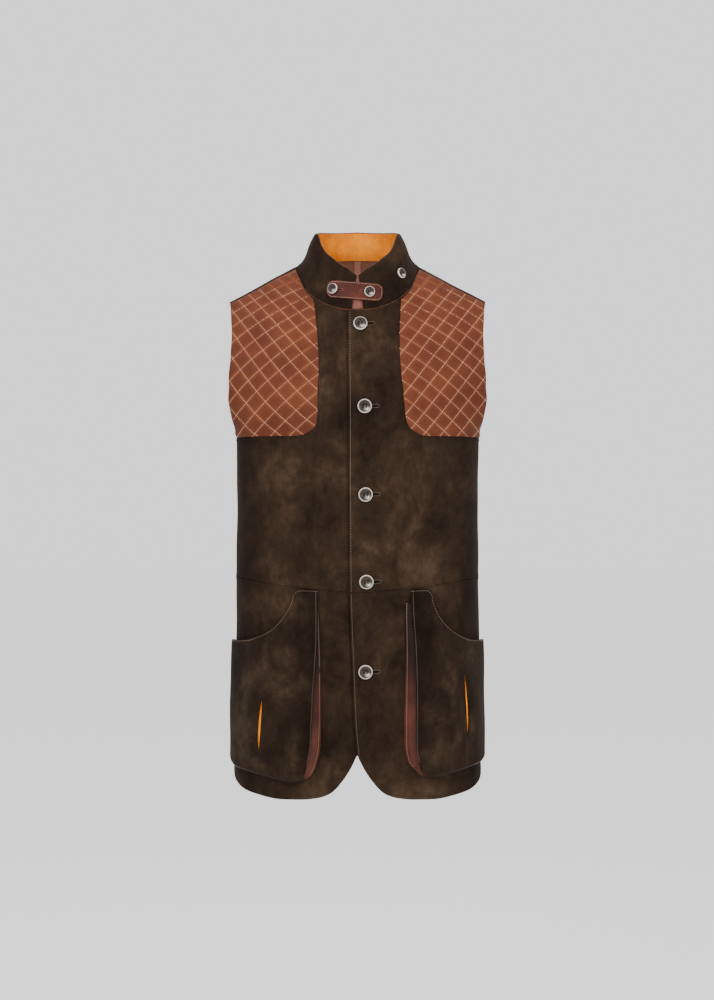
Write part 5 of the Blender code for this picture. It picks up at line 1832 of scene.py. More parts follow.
class CollarForm:
    """The stand collar's outer face on the left half: share 0 at the front, 1 at the back."""

    LAST = 180.0
    STEP = 0.006

    def __init__(self) -> None:
        """Works out the knots of the collar's bottom edge."""
        self.knots = np.arange(0.0, self.LAST + COLLAR_KNOT / 2.0, COLLAR_KNOT)
        here, before, after = (
            FORM.place(*FORM.neckline(self.knots + step).T, SUEDE) for step in (0.0, -1.0, 1.0)
        )
        upright = FORM.normal(*FORM.neckline(self.knots).T)
        inward = unit(np.cross(after - before, upright))
        inward *= np.where(inward[:, 2:] < 0.0, -1.0, 1.0)
        seat = COLLAR_SEAT + COLLAR_LAP_SEAT * lap(here[:, 0])
        self.base_knots = here + inward * seat[:, None]
        self.base_start = math.degrees(math.asin(COLLAR_BASE_START_X / SIDE_NECK_X))
        self.rim_start = math.degrees(math.asin(COLLAR_RIM_START_X / COLLAR_RIM_X))

    def base(self, degrees: Array) -> Array:
        """The bottom edge."""
        knots = [np.interp(degrees, self.knots, self.base_knots[:, axis]) for axis in range(3)]
        return np.stack(knots, axis=-1)

    def rim(self, degrees: Array) -> Array:
        """The top edge."""
        angle = np.radians(degrees)
        height = curve_of(COLLAR_RIM, "degrees", "height")(degrees)
        across = COLLAR_RIM_X * np.sin(angle)
        deep = COLLAR_RIM_MIDDLE_Y - COLLAR_RIM_Y * np.cos(angle)
        return np.stack([across, deep, height], axis=-1)

    def surface(self, share: Array, rise: Array) -> Array:
        """The outer face."""
        share, rise = floats(share, rise)
        base = self.base(mix(self.base_start, self.LAST, share))
        rim = self.rim(mix(self.rim_start, self.LAST, share))
        flare = COLLAR_FLARE * rise * (1.0 - rise) ** 3 * np.sin(math.pi * share)
        inward = np.array([0.0, COLLAR_RIM_MIDDLE_Y, 0.0]) - base
        inward[..., 2] = 0.0
        return mix(base, rim, rise[..., None]) + unit(inward) * flare[..., None]

    def point(
        self, share: Array, rise: Array, out: Numbers = 0.0
    ) -> Array:
        """Points moved out from the outer face."""
        share, rise = floats(share, rise)
        low, high = np.maximum(rise - self.STEP, 0.0), np.minimum(rise + self.STEP, 1.0)
        start, end = np.maximum(share - self.STEP, 0.0), np.minimum(share + self.STEP, 1.0)
        up_it = self.surface(share, high) - self.surface(share, low)
        round_it = self.surface(end, rise) - self.surface(start, rise)
        outward = unit(np.cross(round_it, up_it))
        return self.surface(share, rise) + outward * np.asarray(out, float)[..., None]

    def spot(self, across: Array, height: Array) -> tuple[Array, Array]:
        """The share and rise at which the front is seen at points."""
        across, height = np.abs(np.asarray(across, float)), np.asarray(height, float)
        rise = np.full(across.shape, 0.5)
        share = np.full(across.shape, 0.1)
        for _ in range(8):
            level, column = rise, share
            share = solve(0.0, 0.5, lambda at: self.surface(at, level)[..., 0], across)
            column = share
            rise = solve(0.0, 1.0, lambda at: self.surface(column, at)[..., 2], height)
        return share, rise


COLLAR_FORM = CollarForm()


# Creases of the collar, from and to as side x share and rise
COLLAR_CREASES = table(
    Fold, ((-0.235, 0.86), (-0.18, 0.1), 0.018, 0.0026),
    ((-0.275, 0.92), (-0.25, 0.2), 0.016, 0.002), ((-0.15, 0.75), (-0.13, 0.15), 0.012, 0.0014),
    ((0.225, 0.8), (0.195, 0.12), 0.016, 0.0015), ((-0.56, 0.85), (-0.5, 0.15), 0.022, 0.0012),
    ((0.52, 0.88), (0.565, 0.15), 0.022, 0.0013), ((-0.82, 0.8), (-0.84, 0.2), 0.025, 0.001),
    ((0.78, 0.85), (0.8, 0.15), 0.025, 0.0011),
)


def collar_creases(around: Array, rise: Array) -> Array:
    """How far the creases move the collar out."""
    moved = np.zeros(around.shape)
    for crease in COLLAR_CREASES:
        start, end = np.array(crease.start), np.array(crease.end)
        along = end - start
        share = np.clip((rise - start[1]) / along[1], 0.0, 1.0)
        away = around - (start[0] + along[0] * share)
        near = np.exp(-((away / crease.width) ** 2))
        moved -= crease.depth * near * np.sin(math.pi * np.clip(share, 0.03, 0.97)) ** 0.7
        beside = (away - math.copysign(1.9, start[0]) * crease.width) / crease.width
        moved += 0.35 * crease.depth * np.exp(-(beside**2)) * np.sin(math.pi * share)
    return moved


def collar_at(u: Array, rise: Array, out: float) -> Array:
    """Points of the collar: u runs from its left end round the back to its right end."""
    u, rise = floats(u, rise)
    share = 2.0 * np.minimum(u, 1.0 - u)
    side = np.where(u <= 0.5, 1.0, -1.0)
    creased = out + collar_creases(side * share, rise)
    points = COLLAR_FORM.point(share, rise, creased)
    points[..., 0] *= side
    points[np.abs(u - 0.5) < 1e-6, 0] = 0.0
    return points


@dataclass
class Collar:
    """The stand collar: suede outside, orange inside, rolled edges in between."""

    columns: int = 220
    rows: int = 26
    piping: float = 0.0009
    lining_foot: float = 0.05
    lining_hang: float = 0.0025
    shade: float = 0.45
    cut: Cut = Cut(0.46, 0.07, 0.0283)
    lining_cut: Cut = Cut(0.45, 0.068, 0.0272)

    def sheet(
        self, name: str, out: float, top: float, shade: float, foot: float = 0.0,
        hang: float = 0.0,
    ) -> Cloth:
        """The whole collar as a sheet.

        Args:
            name: The piece's name.
            out: How far it is moved out.
            top: The rise of its top edge.
            shade: How dark its painted shade is.
            foot: The rise of its foot in front.
            hang: How far its foot hangs down inside the back.

        Returns:
            The sheet.
        """
        flat = flat_grid(even(self.columns), even(self.rows))
        u, v = corner_places(flat).T
        behind = fade(0.22, 0.16, np.abs(u - 0.5))
        points = collar_at(u, mix(foot * (1.0 - behind), top, v), out)
        down = hang * behind * (1.0 - v) ** 12
        points += np.stack([0.0 * down, -0.25 * down, -down], axis=1)
        # Painted shade: the whole piece a little darker, and darker still towards its foot
        dark = shade + 1.4 * np.clip(0.25 - v, 0.0, 0.25)
        return Cloth(name, flat, points).value(PAINTED_SHADE_ATTRIBUTE, dark)

    def base_stitches(self, lift: float) -> Array:
        """The stitched line along the bottom edge."""
        return collar_at(np.linspace(0.008, 0.992, 400), 0.06, lift)

    def dress(self) -> Piece:
        """Builds the collar and gives back its suede."""
        suede = self.sheet("collar_suede", 0.0, 1.0, self.shade)
        suede.seams([self.base_stitches(0.0)])
        piece = suede.wall(SUEDE, Finish.SUEDE, Finish.WRONG_SIDE, outward=False)
        settle(piece, "collar", self.cut)
        depth = -SUEDE - SEAM_GAP - 0.0001
        sizes = (depth, 0.99, 0.0, self.lining_foot, self.lining_hang)
        lining = self.sheet("collar_orange_lining", *sizes)
        lining_piece = lining.wall(LINING, Finish.ORANGE, Finish.ORANGE, outward=False)
        settle(lining_piece, "collar_lining", self.lining_cut)
        self.make_piping()
        sewn = [self.base_stitches(STITCH_LIFT)]
        STITCHES.lay("collar_base_stitches", sewn, TOP_STITCH, Finish.BROWN_THREAD)
        return piece

    def make_piping(self) -> None:
        """The thin rolled leather edge up both fronts and along the top."""
        depth = -SUEDE * 0.75
        up = collar_at(0.0, np.linspace(0.05, 1.0, 30), depth)
        top = collar_at(np.linspace(0.0, 1.0, 260), 1.0, depth)
        down = collar_at(1.0, np.linspace(1.0, 0.05, 30), depth)
        path = np.vstack([up[:-1], top, down[1:]])
        cord("collar_piping", [path], self.piping, Finish.PIPING)


def cord(name: str, paths: Lines, radius: float, finish: Finish, rounding: int = 3) -> None:
    """Adds a round cord along each path, as one piece with a plain mesh.

    Args:
        name: The piece's name.
        paths: Each path's points.
        radius: The cord's radius.
        finish: Its finish.
        rounding: The bevel's resolution.
    """
    curve = bpy.data.curves.new(name, "CURVE")
    curve.dimensions = "3D"
    curve.bevel_depth = radius
    curve.bevel_resolution = rounding
    curve.use_fill_caps = True
    for path in paths:
        spline = curve.splines.new("POLY")
        spline.points.add(len(path) - 1)
        spline.points.foreach_set("co", np.column_stack([path, np.ones(len(path))]).ravel())
    drawn = stand(name + "_path", curve)
    mesh = plain_mesh(drawn)
    bpy.data.objects.remove(drawn, do_unlink=True)
    mesh.name = name
    cover(mesh, finish)
    mesh.shade_smooth()
    attach(stand(name, mesh))


@dataclass
class BackNeck:
    """The leather facing inside the back neck and the strip down its middle."""

    half_width: float = 0.082
    bottom_z: float = -0.09
    strip_half_width: float = 0.0048
    strip_bottom_z: float = -0.05
    drop: float = 0.0004
    probe: float = 0.0015
    cut: Cut = Cut(0.18, 0.125, 0.0213, ("suede_back",))
    strip_cut: Cut = Cut(0.0105, 0.084, 0.00084, ("back_neck_facing",))

    def inside(self, cloth: str, size: tuple, steps: tuple, carrier: Piece, finish: Finish) -> Piece:
        """A piece laid inside the back, from just under the neckline down.

        Args:
            cloth: The piece's name.
            size: Half its width, and the height of its foot.
            steps: How many quads it has across and up.
            carrier: What it is laid on.
            finish: Its finish.

        Returns:
            The piece.
        """
        sheet = flat_grid(even(steps[0]), even(steps[1]))
        u, v = corner_places(sheet).T
        across = mix(size[0], -size[0], u)
        top_z = curve_of(BACK_NECKLINE, "across", "height")(np.abs(across)) - self.drop
        height = mix(size[1], top_z, v)
        turn = FORM.turn_at(across, height, False)
        inward = -FORM.normal(turn, height)
        spots = FORM.point(turn, height) + inward * self.probe
        points = lay_on(skin_of(carrier), spots, inward, LAYER_GAP)
        return Cloth(cloth, sheet, points).wall(LINING, finish, finish, outward=False)

    def dress(self, back: Piece) -> None:
        """Builds both pieces and places them in the frame."""
        size = (self.half_width, self.bottom_z)
        facing = self.inside("back_neck_facing", size, (64, 34), back, Finish.BROWN)
        settle(facing, "neck_facing", self.cut)
        size = (self.strip_half_width, self.strip_bottom_z)
        strip = self.inside("back_neck_strip", size, (6, 24), facing, Finish.STRIP)
        settle(strip, "back_strip", self.strip_cut)


# Pockets


class PocketForm:
    """One pocket's face: places with a distance out, from its inner edge to the side."""

    BELLY = 0.0035
    SLIT_ROW = 0.4

    def __init__(self, pocket: Pocket) -> None:
        """Works out the face's edges."""
        self.pocket = pocket
        self.side = pocket.side
        end = FORM.place(np.array(POCKET_SIDE_TURN), np.array(POCKET_SIDE_FOOT_Z), POCKET_SIDE_OUT)
        self.inner_x = pocket.edge[0].face
        self.width = float(end[0]) - self.inner_x
        self.face = spread(*self.edges())
        self.slit = float(solve(0.0, 1.0, self.seen_x, np.array([pocket.slit_x]))[0])

    @staticmethod
    def seen(across: float, height: float, out: float, last: float = POCKET_SIDE_TURN) -> tuple:
        """A place whose point is seen this far across, no further round than the last turn."""
        turn = FORM.turn_facing(np.array([across]), np.array([height]), np.array([out]))
        return min(float(turn[0]), last), height, out

    def edges(self) -> tuple[Callable, ...]:
        """The face's bottom, top, inner and outer edges."""
        pocket = self.pocket
        top = [
            self.seen(self.inner_x + row.share * self.width, row.height, row.out)
            for row in POCKET_TOP[1:-1]
        ]
        foot = [
            self.seen(self.inner_x + row.share * self.width, pocket.bottom_z + row.rise, row.out)
            for row in POCKET_BOTTOM[1:]
        ]
        inner = [self.seen(row.face, row.height, row.out) for row in pocket.edge[::-1]]
        side_top = (POCKET_SIDE_TURN, POCKET_TOP[-1].height, POCKET_SIDE_OUT)
        side_foot = (POCKET_SIDE_TURN, POCKET_SIDE_FOOT_Z, POCKET_SIDE_OUT)
        lines = ([inner[0], *foot, side_foot], [inner[-1], *top, side_top], inner,
                 [side_foot, side_top])
        return tuple(FORM.path(line) for line in lines)

    def spots(self, u: Array, v: Array) -> Array:
        """Places on the face with their distance out, with a soft belly between the edges."""
        u, v = floats(u, v)
        spots = self.face(u, v)
        spots[..., 2] += self.BELLY * np.sin(math.pi * u) * np.sin(math.pi * v)
        return spots

    def at(self, u: Array, v: Array, lift: Numbers = 0.0) -> Array:
        """Points lifted off the face's inner side, on the left half."""
        turn, height, out = np.moveaxis(self.spots(u, v), -1, 0)
        folds = fold_out(on_side(FORM.point(turn, height), self.side))
        return FORM.place(turn, height, out + folds + self.waves(u, v) + lift)

    def waves(self, u: Array, v: Array) -> Array:
        """Soft vertical ripples of the loose face, still along its seams."""
        u, v = floats(u, v)
        held = np.sin(math.pi * np.clip(u, 0.0, 1.0)) * fade(0.0, 0.25, v)
        start = 0.6 if self.side > 0 else 2.3
        ripple = np.sin(math.tau * (1.7 * u + 0.35 * v) + start)
        ripple += 0.55 * np.sin(math.tau * (3.3 * u - 0.5 * v) + 2.0 * start)
        return 0.0013 * held * ripple

    def seen_x(self, share: Array) -> Array:
        """How far across the face is seen at a column, level with the slit."""
        spots = self.face(share, np.full(np.shape(share), self.SLIT_ROW))
        return FORM.place(*np.moveaxis(spots, -1, 0))[..., 0]

    def slit_open(self, height: Array) -> Array:
        """Half of how far the slit stands open at a height."""
        pocket = self.pocket
        along = (height - pocket.slit_bottom_z) / (pocket.slit_top_z - pocket.slit_bottom_z)
        inside = (along > 0.001) & (along < 0.999)
        wide = np.sin(math.pi * np.clip(along, 0.0, 1.0)) ** 0.6
        return np.where(inside, 0.9 * SLIT_HALF_WIDTH * wide, 0.0)


@dataclass
class BellowsPocket:
    """A pocket: its face with a scooped mouth and a slit, its gusset and its lining."""

    form: PocketForm
    columns: int = 72
    rows: int = 96
    lining_reach: float = 0.085
    lining_gap: float = 0.001
    gusset_rows: int = 200
    gusset_steps: int = 8
    gusset_fold: float = 0.0022
    gusset_seat: float = 0.0009
    lip_gap: float = 0.0013
    lip_radius: float = 0.0008
    drop: float = 0.0035
    stitch_across: float = 0.002 / 0.13
    stitch_up: float = 0.002 / 0.23
    face_cut: Cut = Cut(0.165, 0.29, 0.041)
    gusset_cut: Cut = Cut(0.024, 0.7, 0.0086)
    lining_cut: Cut = Cut(0.0285, 0.215, 0.0058)

    def face_columns(self) -> Array:
        """Column shares with one column on the slit."""
        slit = self.form.slit
        before = round(self.columns * slit)
        low = slit * even(before)
        return np.concatenate([low[:-1], mix(slit, 1.0, even(self.columns - before))])

    def face_sheet(self) -> tuple[Sheet, Array]:
        """The face's flat sheet, split along the slit, and its shares across and up."""
        form = self.form
        sheet = flat_grid(self.face_columns(), even(self.rows))

        def open_here(corner: bmesh.types.BMVert) -> float:
            if abs(corner.co.x - form.slit) > 1e-5:
                return 0.0
            height = form.spots(form.slit, corner.co.y)[..., 1]
            return float(form.slit_open(height))

        width = {corner: open_here(corner) for corner in sheet.verts}
        seam = [
            edge for edge in sheet.edges
            if all(abs(corner.co.x - form.slit) < 1e-5 for corner in edge.verts)
            and any(width[corner] > 0.0 for corner in edge.verts)
        ]
        bmesh.ops.split_edges(sheet, edges=seam)
        here = form.at(form.slit, form.SLIT_ROW)
        beside = form.at(form.slit + 0.01, form.SLIT_ROW)
        per_share = np.linalg.norm(beside - here) / 0.01
        for corner in sheet.verts:
            amount = open_here(corner)
            if amount > 0.0 and corner.is_boundary:
                middle = sum(face.calc_center_median().x for face in corner.link_faces)
                outer = middle / len(corner.link_faces) > corner.co.x
                corner.co.x += (amount if outer else -amount) / per_share
        return sheet, corner_places(sheet)

    def face_lines(self, lift: float) -> list[Array]:
        """Stitched lines: along the mouth, down the inner edge and round the foot."""
        at = self.form.at
        beside, below = self.stitch_across, self.stitch_up
        return [
            at(np.linspace(0.004, 0.996, 160), 1.0 - below, lift),
            at(beside, np.linspace(1.0 - below, below, 160), lift),
            at(np.linspace(beside, 0.996, 120), below, lift),
        ]

    def slit_lines(self) -> list[Array]:
        """The seam that runs above and below the slit."""
        form, v = self.form, even(200)
        points, height = form.at(form.slit, v), form.spots(form.slit, v)[..., 1]
        pocket = form.pocket
        return [points[height >= pocket.slit_top_z], points[height <= pocket.slit_bottom_z]]

    def make_face(self) -> None:
        """Builds the face and sews it."""
        form, side = self.form, self.form.side
        sheet, flat = self.face_sheet()
        cloth = Cloth(sided("suede_pocket", side), sheet, form.at(*flat.T), side)
        cloth.seams([on_side(line, side) for line in self.face_lines(0.0) + self.slit_lines()])
        u = flat[:, 0]
        # Painted shade: darker towards the side and along the face's inner edge
        dark = np.clip(fade(0.62, 1.0, u) + 0.7 * fade(0.3, 0.0, u), 0.0, 1.0)
        piece = cloth.value(PAINTED_SHADE_ATTRIBUTE, dark).wall(SUEDE, Finish.POCKET, Finish.WRONG_SIDE)
        settle(piece, sided("pocket_face", side), self.face_cut)
        sewn = [on_side(line, side) for line in self.face_lines(SUEDE + STITCH_LIFT)]
        name = sided("pocket_stitches", side)
        STITCHES.lay(name, sewn[:2], EDGE_STITCHES, Finish.EDGE_THREAD)
        name = sided("pocket_foot_stitches", side)
        STITCHES.lay(name, sewn[2:], TOP_STITCH, Finish.BROWN_THREAD)

    def make_lips(self) -> None:
        """The rolled lips on both sides of the slit."""
        form, side = self.form, self.form.side
        v = even(400)
        opened = form.slit_open(form.spots(form.slit, v)[..., 1])
        v, opened = v[opened > 0.0], opened[opened > 0.0]
        here = form.at(form.slit, v, SUEDE * 0.75)
        beside = unit(form.at(form.slit + 0.01, v, SUEDE * 0.75) - here)
        aside = beside * (opened + self.lip_radius * 0.3)[:, None]
        paths = [on_side(here - aside, side), on_side(here + aside, side)]
        cord(sided("slit_lips", side), paths, self.lip_radius, Finish.LIP)

    def make_lining(self) -> None:
        """The orange suede just behind the slit."""
        form, side = self.form, self.form.side
        sheet = flat_grid(even(12), even(80))
        u, v = corner_places(sheet).T
        share = form.slit + mix(-self.lining_reach, self.lining_reach, u)
        points = form.at(share, mix(0.07, 0.85, v), -self.lining_gap)
        cloth = Cloth(sided("orange_slit_lining", side), sheet, points, side)
        piece = cloth.wall(LINING, Finish.ORANGE, Finish.ORANGE, outward=False)
        cut = self.lining_cut._replace(on=(sided("suede_pocket", side),))
        settle(piece, sided("slit_lining", side), cut)

    def gusset_curves(self) -> tuple[Callable, Callable]:
        """The gusset's edges on the body and behind the face, from its top to the side's top."""
        form, pocket = self.form, self.form.pocket
        on_body = [form.seen(row.seam, row.height, SUEDE)[:2] for row in pocket.edge]
        for foot in POCKET_BOTTOM:
            across = mix(form.inner_x - 0.002, form.inner_x + form.width, foot.share)
            height = pocket.bottom_z + foot.rise - self.drop
            on_body.append(form.seen(across, height, SUEDE, 0.985)[:2])
        ends = (POCKET_SIDE_FOOT_Z - self.drop, POCKET_TOP[-1].height)
        on_body += [(0.988, height) for height in ends]
        near, far = 0.012, 0.988
        inner = form.spots(near, mix(1.0, near, even(8)))
        foot_row = form.spots(mix(near, far, even(8)[1:]), near)
        outer = form.spots(far, mix(near, 1.0, even(6)[1:]))
        return FORM.path(on_body), FORM.path(np.vstack([inner, foot_row, outer]))

    def make_gusset(self, front: Piece) -> None:
        """Builds the folded leather that joins the face to the body."""
        form, side = self.form, self.form.side
        on_body, on_face = self.gusset_curves()
        share = mix(0.035, 1.0, even(self.gusset_rows))
        low, high = on_body(share), on_face(share)
        outward = on_side(FORM.normal(*low.T), side)
        seat = on_side(FORM.place(*low.T, SUEDE), side)
        seat = on_side(lay_on(skin_of(front), seat, outward, self.gusset_seat), side)
        folds = fold_out(on_side(FORM.point(high[:, 0], high[:, 1]), side))
        out = np.maximum(high[:, 2] - self.lip_gap, SUEDE + 2.0 * LAYER_GAP) + folds
        lip = FORM.place(high[:, 0], high[:, 1], out)
        away = unit(np.cross(lip - seat, unit(np.gradient(seat, axis=0))))
        sheet = flat_grid(even(self.gusset_steps), even(self.gusset_rows))
        u, v = corner_places(sheet).T
        row = np.round(v * self.gusset_rows).astype(int)
        depth = np.minimum(np.linalg.norm(lip - seat, axis=1) * 0.16, self.gusset_fold)
        dip = -depth[row] * np.sin(math.pi * u) ** 1.5
        points = mix(seat[row], lip[row], u[:, None]) + away[row] * dip[:, None]
        bmesh.ops.reverse_faces(sheet, faces=sheet.faces)
        cloth = Cloth(sided("leather_gusset", side), sheet, points, side)
        # Painted shade on the gusset
        cloth.value(PAINTED_SHADE_ATTRIBUTE, self.gusset_shade(u, share[row], seat[row]))
        piece = cloth.wall(LINING, Finish.GUSSET, Finish.GUSSET)
        cut = self.gusset_cut._replace(on=(sided("suede_front_lower", side),))
        settle(piece, sided("pocket_gusset", side), cut)
        up = seat[:, 0] < form.inner_x + 0.012
        line = on_side(mix(seat, lip, 0.12)[up], side)
        line = lay_on(skin_of(piece), line, outward[up], 0.0002)
        name = sided("gusset_stitches", side)
        STITCHES.lay(name, [line], SADDLE_STITCH, Finish.WHITE_THREAD)

    def gusset_shade(self, u: Array, share: Array, seat: Array) -> Array:
        """Painted shade: darker in the fold under the face, at the top and along the foot."""
        fold = 0.4 * fade(0.45, 1.0, u)
        top = fade(0.34, 0.12, share)
        foot = fade(self.form.inner_x + 0.01, self.form.inner_x + 0.024, seat[:, 0])
        return np.clip(fold + top + 1.3 * foot, 0.0, 1.3)

    def dress(self, front: Piece) -> None:
        """Builds every part of the pocket."""
        self.make_face()
        self.make_lips()
        self.make_lining()
        self.make_gusset(front)


# Throat tab


@dataclass
class ThroatTab:
    """The maroon leather tab across the collar's opening, and the piece below it."""

    columns: int = 84
    rows: int = 28
    gap: float = LAYER_GAP + 0.0001
    edge: float = 0.0016
    stitch_inset: float = 0.0019
    least: float = 0.3
    cut: Cut = Cut(0.088, 0.028, 0.00235, ("collar_suede",))
    underlay_cut: Cut = Cut(0.038, 0.037, 0.0013)

    @staticmethod
    def half_width(along: Array) -> Array:
        """Half of the tab's width at a distance from its middle."""
        past = np.maximum(np.abs(along) - (TAB_LENGTH / 2.0 - TAB_CORNER), 0.0)
        return TAB_WIDTH / 2.0 - TAB_CORNER + np.sqrt(np.maximum(TAB_CORNER**2 - past**2, 0.0))

    @staticmethod
    def seen(along: Array, aside: Array) -> tuple[Array, Array]:
        """Where flat places of the tab are seen from the front."""
        across = TAB_MIDDLE[0] + along * math.cos(TAB_TILT) + aside * math.sin(TAB_TILT)
        height = TAB_MIDDLE[1] - along * math.sin(TAB_TILT) + aside * math.cos(TAB_TILT)
        return across, height

    def at(
        self, along: Array, aside: Array, skins: Sequence[BVHTree], out: float
    ) -> Array:
        """Points of the tab, laid on what is below and moved out."""
        across, height = self.seen(along, aside)
        side = np.where(across >= 0.0, 1.0, -1.0)
        reach = side * np.maximum(np.abs(across), TAB_PROBE_X)
        probe = np.stack([reach, np.full(reach.shape, -0.075), height], axis=1)
        laid = lay_on(skins, probe, np.array([0.0, -1.0, 0.0]), out, 0.012)
        return np.stack([across, laid[:, 1], height], axis=1)

    def build(self, collar: Piece) -> Piece:
        """Builds the tab, thinner towards its edges."""
        turns, sides = (
            (1.0 + np.sin(math.pi / 2.0 * np.linspace(-1.0, 1.0, count + 1))) / 2.0
            for count in (self.columns, self.rows)
        )
        sheet = flat_grid(turns, sides)
        u, v = corner_places(sheet).T
        along = (u - 0.5) * TAB_LENGTH
        aside = (v - 0.5) * 2.0 * self.half_width(along)
        points = self.at(along, aside, skin_of(collar), self.gap)
        past = np.hypot(
            np.maximum(np.abs(along) - (TAB_LENGTH / 2.0 - TAB_CORNER), 0.0),
            np.maximum(np.abs(aside) - (TAB_WIDTH / 2.0 - TAB_CORNER), 0.0),
        )
        from_edge = np.clip(TAB_CORNER - past, 0.0, self.edge) / self.edge
        groove = np.exp(-(((TAB_CORNER - past - self.stitch_inset) / 0.0006) ** 2))
        share = np.sqrt(1.0 - (1.0 - from_edge) ** 2) - 0.22 * groove
        share = np.clip((share - self.least) / (1.0 - self.least), 0.0, 1.0)
        cloth = Cloth("leather_throat_tab", sheet, points)
        return cloth.wall(TAB_THICK, Finish.MAROON, Finish.MAROON, True, share, self.least)

    def stitched(self) -> Array:
        """The flat line inside the tab's edge, as a closed loop."""
        middle = np.array([TAB_LENGTH, TAB_WIDTH]) / 2.0 - TAB_CORNER
        loop = []
        for quarter, signs in enumerate(((1, 1), (-1, 1), (-1, -1), (1, -1))):
            away = heading(90.0 * quarter + np.linspace(0.0, 90.0, 12))
            loop.append(signs * middle + away * (TAB_CORNER - self.stitch_inset))
        loop = np.vstack([*loop, loop[0][:1]])
        return dense(np.column_stack([loop, np.zeros(len(loop))]))[:, :2]

    def dress(self, collar: Piece) -> Piece:
        """Builds the tab and its stitches and gives back the tab."""
        piece = self.build(collar)
        settle(piece, "throat_tab", self.cut)
        line = self.stitched()
        points = self.at(line[:, 0], line[:, 1], skin_of(piece), 0.0001)
        points = np.vstack([points, points[:1]])
        STITCHES.lay("tab_stitches", [points], TAB_STITCH, Finish.WHITE_THREAD)
        self.make_underlay()
        return piece

    def make_underlay(self) -> None:
        """The maroon piece that shows in the gap under the tab."""
        depth = -SUEDE - SEAM_GAP - LINING - LAYER_GAP - 0.0004
        sheet = flat_grid(even(24), even(20))
        u, v = corner_places(sheet).T
        across, height = mix(-0.018, 0.018, u), mix(-0.0655, -0.03, v)
        share, rise = COLLAR_FORM.spot(np.maximum(np.abs(across), 0.0095), height)
        points = COLLAR_FORM.point(share, rise, depth)
        points = np.stack([across, points[:, 1], height], axis=1)
        cloth = Cloth("leather_throat_underlay", sheet, points)
        piece = cloth.wall(LINING, Finish.UNDERLAY, Finish.UNDERLAY, outward=False)
        settle(piece, "throat_underlay", self.underlay_cut)


# Buttons


class Ring(NamedTuple):
    """A ring of the button's turned profile, in shares of its radius and height."""

    radius: float
    height: float


BUTTON_PROFILE = table(
    Ring, (0.0, 0.6), (0.34, 0.6), (0.54, 0.62), (0.64, 0.7), (0.72, 0.9), (0.79, 0.99),
    (0.87, 0.99), (0.94, 0.88), (0.985, 0.66), (1.0, 0.45), (0.97, 0.22), (0.86, 0.0), (0.0, 0.0),
)


@dataclass
class ButtonMaker:
    """Turns four-hole buttons of one size, and sews them on."""

    name: str
    radius: float
    height: float
    hole_share: float = 0.105
    hole_reach: float = 0.225
    # Where the painted highlight spot lies, and how far it reaches, in shares of the radius
    painted_highlight_spot: tuple[float, float] = (0.34, -0.4)
    painted_highlight_reach: tuple[float, float] = (0.3, 0.22)
    steps: int = 40

    def model(self) -> bpy.types.Mesh:
        """The button's mesh, its back on the origin, facing +Z."""
        mesh = bpy.data.meshes.new(self.name)
        rings = [(r.radius * self.radius, 0.0, r.height * self.height) for r in BUTTON_PROFILE]
        mesh.from_pydata(rings, [(i, i + 1) for i in range(len(rings) - 1)], [])
        blank = stand(self.name, mesh)
        turned = blank.modifiers.new("Turned", "SCREW")
        turned.steps = turned.render_steps = self.steps
        turned.use_merge_vertices = True
        turned.merge_threshold = 0.00001
        drills = bmesh.new()
        wide, reach = self.radius * self.hole_share, self.radius * self.hole_reach
        for x, y in ((-reach, -reach), (-reach, reach), (reach, -reach), (reach, reach)):
            bmesh.ops.create_cone(
                drills, cap_ends=True, segments=14, depth=4.0 * self.height,
                radius1=wide, radius2=wide, matrix=Matrix.Translation((x, y, 0.0)),
            )
        drill_mesh = bpy.data.meshes.new(self.name + "_drills")
        drills.to_mesh(drill_mesh)
        drills.free()
        drill = stand(self.name + "_drills", drill_mesh)
        holes = blank.modifiers.new("Holes", "BOOLEAN")
        holes.operation, holes.solver, holes.object = "DIFFERENCE", "EXACT", drill
        finished = plain_mesh(blank)
        for used in (blank, drill):
            bpy.data.objects.remove(used, do_unlink=True)
        spots = np.array([corner.co[:2] for corner in finished.vertices]) / self.radius
        # Painted highlight: a pale spot towards the lower right, kept with the pale rim
        from_highlight = np.linalg.norm((spots - self.painted_highlight_spot) / self.painted_highlight_reach, axis=1)
        rim = fade(0.84, 0.93, np.linalg.norm(spots, axis=1))
        keep(finished, RIM_AND_HIGHLIGHT_ATTRIBUTE, np.maximum(rim, np.exp(-(from_highlight**2))))
        cover(finished, Finish.HORN)
        smooth(finished, 40.0)
        return finished

    def sew(self, model: bpy.types.Mesh, node: str, seat: Vector, facing: Vector) -> None:
        """Puts one button on its seat, with its thread."""
        place = Matrix.Translation(seat) @ facing.to_track_quat("Z", "Y").to_matrix().to_4x4()
        mesh = model.copy()
        mesh.transform(place)
        piece = stand("horn_" + node, mesh)
        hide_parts(node)
        attach(piece)
        reach, top = self.radius * self.hole_reach, self.height * 0.64
        ends, rises = (-1.05, -0.6, 0.0, 0.6, 1.05), (0.55, 1.04, 1.18, 1.04, 0.55)
        paths = [
            np.array([place @ Vector((x, reach * end, top * rise)) for end, rise in zip(ends, rises)])
            for x in (-reach, reach)
        ]
        cord(f"horn_{node}_thread", paths, self.radius * 0.062, Finish.BROWN_THREAD, 2)


